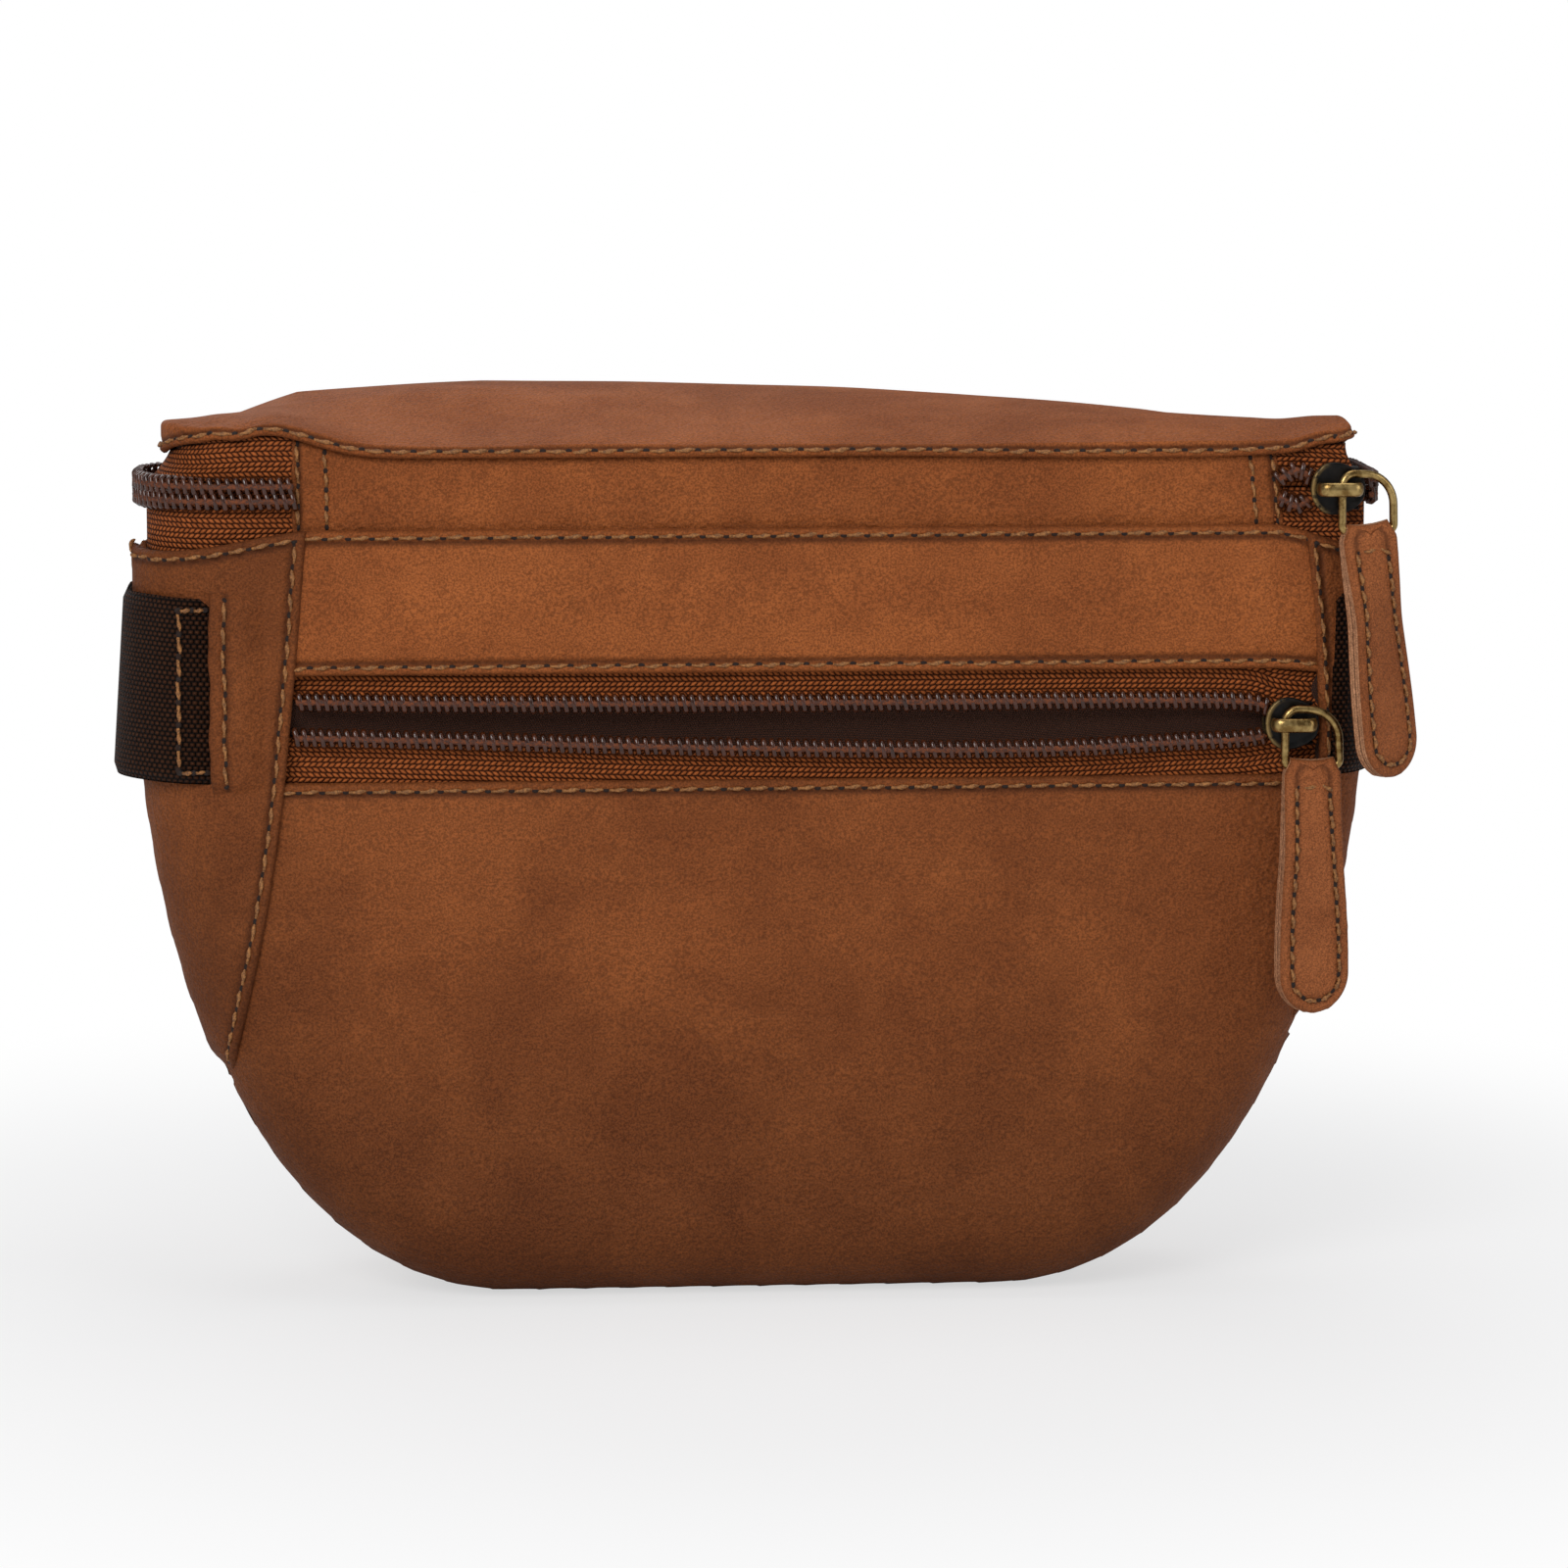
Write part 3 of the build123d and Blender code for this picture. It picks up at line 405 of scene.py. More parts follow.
def attributeOf(tree, name):
    made = tree.nodes.new("ShaderNodeAttribute")
    made.attribute_name = name
    return made.outputs["Fac"]


def noiseNode(tree, vector, scale, detail, roughness, distortion=0.0):
    links = {"Vector": vector, "Scale": scale, "Detail": detail, "Roughness": roughness,
             "Distortion": distortion}
    return node(tree, "ShaderNodeTexNoise", links)


def scaledColour(tree, colour, factor):
    return node(tree, "ShaderNodeVectorMath", {0: colour, "Scale": factor}, operation="SCALE").outputs[0]


def weighted(tree, *pairs):
    # the sum of sockets, each times its weight
    parts = [mathNode(tree, "MULTIPLY", socket, weight) for socket, weight in pairs]
    return mathNode(tree, "ADD", *parts)


def hideGroup():
    # patches, specks and the fine grain of oiled hide
    outputs = [(key, "NodeSocketFloat") for key in ("Patches", "Specks", "Grain")]
    group, start, end = newGroup("hide", outputs, [("Size", "NodeSocketFloat", 1.0)])
    place = node(group, "ShaderNodeTexCoord").outputs["Object"]
    scaled = node(group, "ShaderNodeVectorMath", {0: place}, operation="SCALE")
    group.links.new(start.outputs["Size"], scaled.inputs["Scale"])
    at = scaled.outputs[0]
    wide = noiseNode(group, at, 26.0, 5.0, 0.62, 0.5)
    mid = noiseNode(group, at, 120.0, 6.0, 0.7)
    patches = weighted(group, (wide.outputs[0], 0.68), (mid.outputs[0], 0.32))
    specks = noiseNode(group, at, 2300.0, 2.0, 0.8)
    cellLinks = {"Vector": at, "Scale": 900.0, "Randomness": 1.0}
    cells = node(group, "ShaderNodeTexVoronoi", cellLinks, feature="F1")
    fine = noiseNode(group, at, 700.0, 8.0, 0.65)
    grain = weighted(group, (cells.outputs["Distance"], 0.5), (fine.outputs[0], 0.8))
    group.links.new(patches, end.inputs["Patches"])
    group.links.new(specks.outputs[0], end.inputs["Specks"])
    group.links.new(grain, end.inputs["Grain"])
    return group


def weaveGroup():
    # crossed threads from two lengths in millimetres
    outputs = [("Height", "NodeSocketFloat"), ("Shade", "NodeSocketFloat")]
    starts = {"Along": 0.0, "Across": 0.0, "Pitch Along": 1.0, "Pitch Across": 1.0, "Slant": 0.0}
    inputs = [(key, "NodeSocketFloat", value) for key, value in starts.items()]
    group, start, end = newGroup("weave", outputs, inputs)
    put = start.outputs
    zig = mathNode(group, "PINGPONG", put["Across"], mathNode(group, "MULTIPLY", put["Pitch Across"], 2.0))
    lean = mathNode(group, "ADD", put["Along"], mathNode(group, "MULTIPLY", zig, put["Slant"]))
    u = mathNode(group, "DIVIDE", lean, put["Pitch Along"])
    v = mathNode(group, "DIVIDE", put["Across"], put["Pitch Across"])
    row = mathNode(group, "FLOOR", v)
    shifted = mathNode(group, "ADD", u, mathNode(group, "MULTIPLY", row, 0.5))
    a = mathNode(group, "ABSOLUTE", mathNode(group, "SINE", mathNode(group, "MULTIPLY", shifted, math.pi)))
    b = mathNode(group, "ABSOLUTE", mathNode(group, "SINE", mathNode(group, "MULTIPLY", v, math.pi)))
    height = mathNode(group, "MULTIPLY", mathNode(group, "POWER", a, 0.6), mathNode(group, "POWER", b, 0.5))
    cell = node(group, "ShaderNodeCombineXYZ", {0: mathNode(group, "FLOOR", shifted), 1: row})
    random = node(group, "ShaderNodeTexWhiteNoise", {"Vector": cell.outputs[0]}, noise_dimensions="2D")
    group.links.new(height, end.inputs["Height"])
    group.links.new(random.outputs["Value"], end.inputs["Shade"])
    return group


hide, weave = hideGroup(), weaveGroup()


def newMaterial(name):
    material = bpy.data.materials.new(name)
    material.use_nodes = True
    tree = material.node_tree
    return material, tree, tree.nodes["Principled BSDF"]


def leatherMaterial(name, dark, mid, light, rough=0.66, size=1.0):
    # oiled hide: patches between dark and light; painted shade darkens the stitched hollows, and the colour
    # is darker along the rolled edges
    surfaceAndShade = {"evenness": 0.58, "speckLow": 0.68, "speckHigh": 1.32, "grooveShadeShare": 0.78,
              "grooveShadeDark": 0.45,
              "nearEdgeShare": 0.42, "nearEdgeDark": 0.42, "shine": 0.16, "roughSpread": 0.06}
    material, tree, shader = newMaterial(name)
    made = node(tree, "ShaderNodeGroup", node_tree=hide)
    made.inputs["Size"].default_value = size
    patches, specks, grain = (made.outputs[key] for key in ("Patches", "Specks", "Grain"))
    nearEdge, grooveShade, toneAndPaintedLight = (attributeOf(tree, key) for key in ("nearEdge", "grooveShade", "toneAndPaintedLight"))
    base = mixColour(tree, ranged(tree, patches, 0.36, 0.64), dark, light)
    base = mixColour(tree, surfaceAndShade["evenness"], base, mid)
    speckled = ranged(tree, specks, 0.36, 0.64, surfaceAndShade["speckLow"], surfaceAndShade["speckHigh"])
    scaled = scaledColour(tree, base, mathNode(tree, "MULTIPLY", speckled, toneAndPaintedLight))
    # painted shade: the stitched hollows are mixed towards a darker brown
    grooveShadeMask = mathNode(tree, "MULTIPLY", grooveShade, surfaceAndShade["grooveShadeShare"])
    grooveShaded = mixColour(tree, grooveShadeMask, scaled, tuple(c * surfaceAndShade["grooveShadeDark"] for c in dark))
    # darker along the rolled edges
    nearEdgeMask = mathNode(tree, "MULTIPLY", nearEdge, surfaceAndShade["nearEdgeShare"])
    edged = mixColour(tree, nearEdgeMask, grooveShaded, tuple(c * surfaceAndShade["nearEdgeDark"] for c in dark))
    tree.links.new(edged, shader.inputs["Base Color"])
    spread = surfaceAndShade["roughSpread"]
    roughness = ranged(tree, patches, 0.3, 0.7, rough + spread, rough - spread)
    tree.links.new(roughness, shader.inputs["Roughness"])
    shader.inputs["Specular IOR Level"].default_value = surfaceAndShade["shine"]
    fine = node(tree, "ShaderNodeBump", {"Height": grain, "Strength": 0.85, "Distance": 0.0007})
    slowLinks = {"Height": patches, "Strength": 0.3, "Distance": 0.004, "Normal": fine.outputs[0]}
    slow = node(tree, "ShaderNodeBump", slowLinks)
    tree.links.new(slow.outputs[0], shader.inputs["Normal"])
    return material


def wovenMaterial(name, dark, light, pitchAlong, pitchAcross, slant, rough, depth, sheen=0.0):
    # cloth whose threads follow the piece's own lengths, in millimetres
    material, tree, shader = newMaterial(name)
    made = node(tree, "ShaderNodeGroup", node_tree=weave)
    for key, value in (("Pitch Along", pitchAlong), ("Pitch Across", pitchAcross), ("Slant", slant)):
        made.inputs[key].default_value = value
    tree.links.new(attributeOf(tree, "along"), made.inputs["Along"])
    tree.links.new(attributeOf(tree, "across"), made.inputs["Across"])
    height = made.outputs["Height"]
    shade = ranged(tree, made.outputs["Shade"], 0.0, 1.0, 0.72, 1.0)
    # painted shade between the threads: the low places of the weave take the dark colour; each thread's
    # tone also differs at random
    weaveToneAndShade = mathNode(tree, "MULTIPLY", ranged(tree, height, 0.2, 0.95), shade)
    base = mixColour(tree, weaveToneAndShade, dark, light)
    toned = scaledColour(tree, base, attributeOf(tree, "toneAndPaintedLight"))
    tree.links.new(toned, shader.inputs["Base Color"])
    shader.inputs["Roughness"].default_value = rough
    shader.inputs["Specular IOR Level"].default_value = 0.12
    shader.inputs["Sheen Weight"].default_value = sheen
    shader.inputs["Sheen Roughness"].default_value = 0.5
    bump = node(tree, "ShaderNodeBump", {"Height": height, "Strength": 0.9, "Distance": depth})
    tree.links.new(bump.outputs[0], shader.inputs["Normal"])
    return material


def speckledMaterial(name, dark, light, rough, metal=0.0, scale=900.0, bumpDepth=0.0001, coat=0.0,
                     rimColour=None, rimRough=0.3, shine=0.5):
    # two tones broken up by fine noise; rimColour is bare metal where the rim attribute is high
    material, tree, shader = newMaterial(name)
    place = node(tree, "ShaderNodeTexCoord").outputs["Object"]
    noise = noiseNode(tree, place, scale, 6.0, 0.65)
    mask = ranged(tree, noise.outputs[0], 0.35, 0.65)
    base = mixColour(tree, mask, dark, light)
    roughness = ranged(tree, noise.outputs[0], 0.3, 0.7, rough * 0.8, rough * 1.2)
    if rimColour:
        rim = attributeOf(tree, "rim")
        broken = mathNode(tree, "MULTIPLY", rim, ranged(tree, noise.outputs[0], 0.34, 0.5))
        base = mixColour(tree, broken, base, rimColour)
        tree.links.new(broken, shader.inputs["Metallic"])
        roughness = mathNode(tree, "ADD", mathNode(tree, "MULTIPLY", broken, rimRough - rough), roughness)
    else:
        shader.inputs["Metallic"].default_value = metal
    tree.links.new(base, shader.inputs["Base Color"])
    tree.links.new(roughness, shader.inputs["Roughness"])
    shader.inputs["Coat Weight"].default_value = coat
    shader.inputs["Specular IOR Level"].default_value = shine
    shader.inputs["Coat Roughness"].default_value = 0.15
    bump = node(tree, "ShaderNodeBump",
                {"Height": noise.outputs[0], "Strength": 0.5, "Distance": bumpDepth})
    tree.links.new(bump.outputs[0], shader.inputs["Normal"])
    return material


shellLeather = leatherMaterial(
    "shellLeather", (0.150, 0.040, 0.0100), (0.240, 0.066, 0.0155), (0.345, 0.102, 0.0245))
tabLeather = leatherMaterial(
    "tabLeather", (0.20, 0.056, 0.016), (0.31, 0.092, 0.027), (0.42, 0.135, 0.042), rough=0.6, size=1.3)
rawEdge = leatherMaterial(
    "rawEdge", (0.24, 0.10, 0.045), (0.37, 0.17, 0.085), (0.50, 0.26, 0.14), rough=0.8, size=1.6)
liningCloth = wovenMaterial(
    "liningCloth", (0.035, 0.012, 0.006), (0.085, 0.028, 0.013), 0.5, 0.5, 0.0, 0.8, 0.0002, 0.2)
zipTape = wovenMaterial(
    "zipTape", (0.060, 0.013, 0.0035), (0.50, 0.135, 0.034), 1.25, 1.05, 0.75, 0.72, 0.0008)
webCloth = wovenMaterial(
    "webCloth", (0.003, 0.0012, 0.0006), (0.068, 0.023, 0.0085), 1.3, 0.95, 0.0, 0.62, 0.0012)
coilNylon = speckledMaterial(
    "coilNylon", (0.030, 0.0075, 0.0022), (0.080, 0.020, 0.0060), 0.22, scale=400.0, coat=0.15)
coilThread = speckledMaterial(
    "coilThread", (0.045, 0.011, 0.0032), (0.20, 0.052, 0.014), 0.8, scale=1500.0, bumpDepth=0.0004)
thread = speckledMaterial(
    "thread", (0.13, 0.047, 0.010), (0.44, 0.185, 0.050), 0.62, scale=2200.0, bumpDepth=0.0002)
# painted shade for the stitch holes
paintedHoleShade = speckledMaterial("paintedHoleShade", (0.010, 0.004, 0.002), (0.024, 0.009, 0.004), 0.9, scale=1500.0)
brass = speckledMaterial(
    "brass", (0.20, 0.115, 0.035), (0.52, 0.36, 0.14), 0.3, metal=1.0, scale=420.0, bumpDepth=0.00015)
lacquer = speckledMaterial(
    "lacquer", (0.0025, 0.002, 0.0016), (0.009, 0.0065, 0.005), 0.36, scale=700.0,
    rimColour=(0.46, 0.30, 0.11), rimRough=0.33, shine=0.2)
plastic = speckledMaterial(
    "plastic", (0.009, 0.008, 0.0075), (0.017, 0.015, 0.014), 0.42, scale=1500.0, bumpDepth=0.00012)


def packOutline():
    w = pack["halfWidth"]
    side = bezierPoints(
        (pack["baseHalf"], 0), (pack["baseHalf"] + pack["baseHandle"], 0),
        (w, pack["shoulderZ"] - pack["sideHandle"]), (w, pack["shoulderZ"]), 80)
    right = np.vstack([side, [[w, pack["bodyTop"] + 30]]])
    return evenPoints(np.vstack([right[::-1] * np.array([-1, 1]), right]), 1200)


outline = packOutline()


def edgeDistance(x, z):
    flat = np.stack([np.ravel(x), np.ravel(z)], axis=1)
    best = np.full(len(flat), 1e9)
    for start in range(0, len(outline), 200):
        part = outline[start:start + 200]
        best = np.minimum(best, np.linalg.norm(flat[:, None, :] - part[None, :, :], axis=2).min(axis=1))
    best[best < 0.12] = 0
    return best.reshape(np.shape(x))


def nearSurface(x, z):
    d = edgeDistance(x, z)
    lowness = smooth((95 - z) / 70)
    side = np.where(x < 0, pack["rimLeft"], pack["rimRight"])
    rim = side * (1 - lowness) + pack["rimBase"] * lowness
    t = 1 - np.clip(d / rim, 0, 1)
    y = pack["nearY"] + rim * (1 - np.sqrt(np.clip(1 - t * t, 0, 1)))
    y = y - pack["bulge"] * smooth(d / 55) * smooth((112 - z) / 45)
    return y - pack["sag"] * softNoise(x, z, 46, 3) * smooth(d / 20) * smooth((112 - z) / 30)


def farSurface(x, z):
    d = edgeDistance(x, z)
    arc = (pack["farCentre"]
           + np.sqrt(pack["farRadius"] ** 2 - np.clip(np.abs(x), 0, pack["halfWidth"]) ** 2))
    room = np.clip(arc - pack["seamY"] - 1.0, 6, 60)
    rim = np.minimum(pack["rimFar"] + 10 * smooth((60 - z) / 60), room)
    t = 1 - np.clip(d / rim, 0, 1)
    return arc - rim * (1 - np.sqrt(np.clip(1 - t * t, 0, 1)))


def nearPoints(flat):
    return np.stack([flat[..., 0], nearSurface(flat[..., 0], flat[..., 1]), flat[..., 1]], axis=-1)


def outlineBetween(zLeft, zRight, count):
    # the outline from a height on the left, under the base, to a height on the right
    left = np.nonzero((outline[:, 0] < 0) & (outline[:, 1] <= zLeft))[0][0]
    right = np.nonzero((outline[:, 0] > 0) & (outline[:, 1] >= zRight))[0][0]
    part = outline[left:right + 1].copy()
    part[0, 1], part[-1, 1] = zLeft, zRight
    return evenPoints(part, count)


def planLine(inset, cornerLeft, cornerRight, startX, endX):
    # the plan outline from the near side's left part, round the back, to its right part
    w, near, fr, fc, tip = pack["halfWidth"], pack["nearY"], pack["farRadius"], pack["farCentre"], 12.0
    centreX = w - tip
    centreY = fc + math.sqrt((fr - tip) ** 2 - centreX ** 2)
    touch = math.atan2(centreX, centreY - fc)

    def corner(x, y, radius, fromDeg, toDeg, count):
        a = np.radians(np.linspace(fromDeg, toDeg, count))
        return np.stack([x + np.cos(a) * radius, y + np.sin(a) * radius], axis=1)
    parts = [
        np.array([[startX, near + inset]]),
        corner(-w + cornerLeft, near + cornerLeft, cornerLeft - inset, 270, 180, 14),
        corner(-centreX, centreY, tip - inset, 180, 90 + math.degrees(touch), 8),
        corner(0, fc, fr - inset, 90 + math.degrees(touch), 90 - math.degrees(touch), 60),
        corner(centreX, centreY, tip - inset, 90 - math.degrees(touch), 0, 8),
        corner(w - cornerRight, near + cornerRight, max(cornerRight - inset, 0.3), 0, -90, 6),
        np.array([[endX, near + inset]]),
    ]
    return np.vstack(parts)


seams = {
    "left": [(-91.0, 159.5), (-92.6, 140.0), (-94.6, 120.0), (-96.8, 100.0), (-100.8, 76.0),
             (-107.9, 44.0)],
    "right": [(111.2, 159.5), (113.2, 140.0), (114.2, 122.0), (114.6, 105.0), (114.0, 80.0), (109.9, 52.0)],
    "lowerLip": 108.3, "upperLip": 130.0, "under": 5.0,
    "dropLeft": 4.4, "dropRight": 4.6,      # the top edge falls towards the sides
    "wingLift": {"left": 1.2, "right": 0.8},
}
seamCurves = {side: curveThrough(seams[side][::-1], 120) for side in ("left", "right")}


def seamX(side, z):
    curve = seamCurves[side]
    return np.interp(z, curve[:, 1], curve[:, 0])


def dropped(flat):
    # lowers the body's top edge towards the sides
    x, z = flat[..., 0], flat[..., 1]
    drop = seams["dropLeft"] * smooth((-x - 88) / 34) + seams["dropRight"] * smooth((x - 104) / 20)
    out = flat.copy()
    out[..., 1] = z - drop * smooth((z - 112) / 44)
    return out


stitchRows = []      # (points, normals, pitch, body)
print("panels")


def toneOver(points, seed):
    x, z = points[..., 0], points[..., 2]
    return 1 + 0.07 * softNoise(x, z, 60, seed)


def addRow(outer, normals, runs, edge, distance, pitch=4.8, body="pack", trim=(2, 2), closed=False):
    across = 0 if edge[0] == "u" else 1
    points, ups = [], []
    for k in range(outer.shape[1 - across]):
        line = outer[:, k] if across == 0 else outer[k]
        up = normals[:, k] if across == 0 else normals[k]
        run = runs[edge][:, k] if across == 0 else runs[edge][k]
        if edge[1] == "1":
            line, up, run = line[::-1], up[::-1], run[::-1]
        if run[-1] < distance:
            continue
        points.append([np.interp(distance, run, line[:, c]) for c in range(3)])
        ups.append([np.interp(distance, run, up[:, c]) for c in range(3)])
    if closed:
        points, ups = points + points[:1], ups + ups[:1]
    points, ups = np.array(points), np.array(ups)
    run = runOf(points)
    wanted = np.linspace(trim[0], run[-1] - trim[1], max(int(run[-1] / 0.6), 8))
    line = np.stack([np.interp(wanted, run, points[:, c]) for c in range(3)], axis=1)
    up = np.stack([np.interp(wanted, run, ups[:, c]) for c in range(3)], axis=1)
    stitchRows.append((line, up / np.linalg.norm(up, axis=1, keepdims=True), pitch, body))


def rimSpread(share, count):
    return share * (1 - np.cos(np.linspace(0, math.pi / 2, count)))


def withUnder(grid, axis, side, y):
    # a row of points added at the seam between near and far leather
    row = np.take(grid, [0 if side == 0 else -1], axis=axis).copy()
    rows = []
    for s in (1.0, 0.5):
        extra = row.copy()
        extra[..., 1] = row[..., 1] * (1 - s) + y * s
        rows.append(extra)
    parts = rows + [grid] if side == 0 else [grid] + rows[::-1]
    return np.concatenate(parts, axis=axis)


def buildLower():
    low, tipL, tipR = seams["lowerLip"], 44.0, 52.0
    zs = np.linspace(tipL, low, 60)
    left = np.stack([seamX("left", zs) - seams["under"] * smooth((zs - tipL) / 8), zs], axis=1)
    zs = np.linspace(tipR, low, 60)
    right = np.stack([seamX("right", zs) + 3.0 * smooth((zs - tipR) / 8), zs], axis=1)
    bottom = outlineBetween(tipL, tipR, 200)
    wall = outline[outline[:, 0] > 0]
    left[:, 0] = np.maximum(left[:, 0], 0.9 - np.interp(left[:, 1], wall[:, 1], wall[:, 0]))
    right[:, 0] = np.minimum(right[:, 0], np.interp(right[:, 1], wall[:, 1], wall[:, 0]) - 0.9)
    left[0], right[0] = bottom[0], bottom[-1]
    top = np.linspace(left[-1], right[-1], 60)
    us = spaced(250, False, False, 2.3)
    vs = np.unique(np.concatenate([rimSpread(0.17, 10), 1 - spaced(105, True, False, 2.6)[::-1]]))
    keep = (vs < 0.171) & np.isin(vs, rimSpread(0.17, 10)) | (vs > 0.19)
    grid = nearPoints(coons(bottom, top, left, right, us, vs[keep]))
    grid = withUnder(grid, 1, 0, pack["seamY"])
    # painted shade: the lower panel is darker towards the bottom and towards the left
    toneAndPaintedLight = (toneOver(grid, 5)
            * (0.93 - 0.36 * smooth((85 - grid[..., 2]) / 80) - 0.14 * smooth((-60 - grid[..., 0]) / 50)))
    piece, *rest = sheetPiece("nearPanelLower", grid, shellLeather, folds=["v1"],
                              toneAndPaintedLight=toneAndPaintedLight, depth=0.34,
                              radial=True)
    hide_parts("near_panel_lower")
    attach(piece, "pack")
    addRow(*rest, "v1", 2.4, trim=(3, 1))


def buildUpper():
    low, top = seams["upperLip"], pack["bodyTop"]
    zs = np.linspace(low, top, 30)
    left = np.stack([seamX("left", zs) - seams["under"], zs], axis=1)
    right = np.stack([seamX("right", zs) + 1.5, zs], axis=1)
    us = spaced(205, False, False, 2.6)
    vs = spaced(top - low, True, True, 2.2)
    flat = dropped(coons(np.linspace(left[0], right[0], 40), np.linspace(left[-1], right[-1], 40), left,
                         right, us, vs))
    grid = nearPoints(flat)
    grid[..., 1] -= 0.55 * np.sin(np.clip((grid[..., 2] - low) / (top - low), 0, 1) * math.pi)
    grid[..., 1] -= 0.25 * softNoise(grid[..., 0], grid[..., 2], 30, 8)
    # painted light: the upper panel is brighter, as light falls from above
    piece, *rest = sheetPiece("nearPanelUpper", grid, shellLeather, folds=["v0", "v1"],
                              toneAndPaintedLight=toneOver(grid, 7) * 1.22, puff=0.5, depth=0.34)
    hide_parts("near_panel_upper")
    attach(piece, "pack")
    addRow(*rest, "v0", 2.5, trim=(3, 1))
    addRow(*rest, "v1", 2.3, trim=(4, 1))


def buildWing(side):
    sign = -1 if side == "left" else 1
    tip = 44.0 if side == "left" else 52.0
    top = pack["bodyTop"]
    zs = np.linspace(tip, top, 80)
    seam = np.stack([seamX(side, zs), zs], axis=1)
    part = outline[(outline[:, 0] * sign > 0) & (outline[:, 1] >= tip) & (outline[:, 1] <= top)]
    part = part[np.argsort(part[:, 1])]
    edge = evenPoints(np.vstack([[np.interp(tip, part[:, 1], part[:, 0]), tip], part, [part[-1, 0], top]]),
                      80)
    seam[0] = edge[0] * 0.5 + seam[0] * 0.5
    edge[0] = seam[0]
    width = 33 if side == "left" else 14
    us = np.unique(np.concatenate([rimSpread(0.62 if side == "left" else 0.75, 12),
                                   1 - spaced(width, True, False, 1.6)[::-1]]))
    us = us[np.concatenate([[True], np.diff(us) > 0.004])]
    vs = 1 - spaced(118, True, False, 1.9)[::-1]
    bottom, upper = np.linspace(edge[0], seam[0], 20), np.linspace(edge[-1], seam[-1], 20)
    grid = nearPoints(dropped(coons(bottom, upper, edge, seam, us, vs)))
    grid = withUnder(grid, 0, 0, pack["seamY"])
    name = "wing" + side.capitalize()
    above = grid[..., 2] - tip
    lift = seams["wingLift"][side] * smooth((above - 1) / 9) - 1.1 * (1 - smooth(above / 8))
    # painted shade: the wings are darker towards the bottom, the left wing darker than the right
    toneAndPaintedLight = (toneOver(grid, 9) * (0.80 if side == "left" else 0.9)
            * (1 - 0.25 * smooth((110 - grid[..., 2]) / 60)))
    piece, *rest = sheetPiece(name, grid, shellLeather, folds=["u1", "v1"], lift=lift,
                              toneAndPaintedLight=toneAndPaintedLight, puff=0.35,
                              steady=5, radial=True)
    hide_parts("wing_" + side)
    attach(piece, "pack")
    addRow(*rest, "u1", 2.8 if side == "left" else 2.2, trim=(9, 3))
    addRow(*rest, "v1", 2.3, trim=(3, 3))


def buildFar():
    top = pack["bodyTop"]
    whole = outline[outline[:, 1] <= top]
    whole = np.vstack([[-pack["halfWidth"], top], whole, [pack["halfWidth"], top]])
    bottom = evenPoints(whole, 300)
    inner = 70.0
    left, right = np.linspace((-pack["halfWidth"], top), (-inner, top),
                              40), np.linspace((pack["halfWidth"], top), (inner, top), 40)
    us = spaced(runOf(bottom)[-1], True, True, 3.2)
    vs = np.unique(np.concatenate([rimSpread(0.2, 9), np.linspace(0.24, 1, 34)]))
    flat = coons(bottom, np.linspace(left[-1], right[-1], 40), left, right, us, vs)
    grid = np.stack([flat[..., 0], farSurface(flat[..., 0], flat[..., 1]), flat[..., 1]], axis=-1)
    grid = withUnder(grid, 1, 0, pack["seamY"])
    nearness = smooth((8 - grid[..., 1]) / 20)
    fall = (np.where(grid[..., 0] < 0, seams["dropLeft"] + 0.9, seams["dropRight"] + 0.9)
            * smooth((np.abs(grid[..., 0]) - 100) / 20))
    grid[..., 2] -= fall * nearness * smooth((grid[..., 2] - 112) / 44)
    grid[..., 1] -= (0.5 * softNoise(grid[..., 0], grid[..., 2], 52, 21)
                     * smooth(edgeDistance(grid[..., 0], grid[..., 2]) / 25))
    piece, *rest = sheetPiece("farPanel", grid, shellLeather, folds=["u0", "u1"],
                              toneAndPaintedLight=toneOver(grid, 12) * 0.86,
                              centre=(0, 0, 90))
    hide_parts("far_panel")
    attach(piece, "pack")


def buildBand():
    # the leather hinge between body and lid
    x0, x1, z0, z1 = -94.0, 106.5, 153.5, 174.6
    us, vs = spaced(x1 - x0, True, True, 3.0), spaced(z1 - z0, False, False, 1.6)
    xs, zs = x0 + (x1 - x0) * us, z0 + (z1 - z0) * vs
    grid = np.stack(np.broadcast_arrays(xs[:, None], -32.0, zs[None]), axis=-1).astype(float)
    grid[..., 2] += lipHump(grid[..., 0]) * smooth((grid[..., 2] - 162) / 12)
    slant = 2.2 * (vs[None] - 0.5) * smooth((us[:, None] - 0.9) / 0.1)
    grid[..., 0] -= slant
    x, z = grid[..., 0], grid[..., 2]
    middle = smooth((z - 159) / 3) * smooth((173 - z) / 3)
    grid[..., 1] -= (0.5 + 0.35 * softNoise(x, z, 38, 31)) * middle
    # painted light: the hinge band is brightened, as light falls from above
    piece, *rest = sheetPiece("hingeBand", grid, shellLeather, folds=["u0", "u1"],
                              thick=1.3, toneAndPaintedLight=toneOver(grid, 14) * 1.14,
                              groove=1.6)
    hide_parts("hinge_band")
    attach(piece, "pack")
    for edge, distance in (("u0", 1.7), ("u0", 7.6), ("u1", 1.6), ("u1", 6.2)):
        addRow(*rest, edge, distance, pitch=4.2, trim=(6.5, 1.6))


buildLower()
buildUpper()
buildWing("left")
buildWing("right")
buildFar()

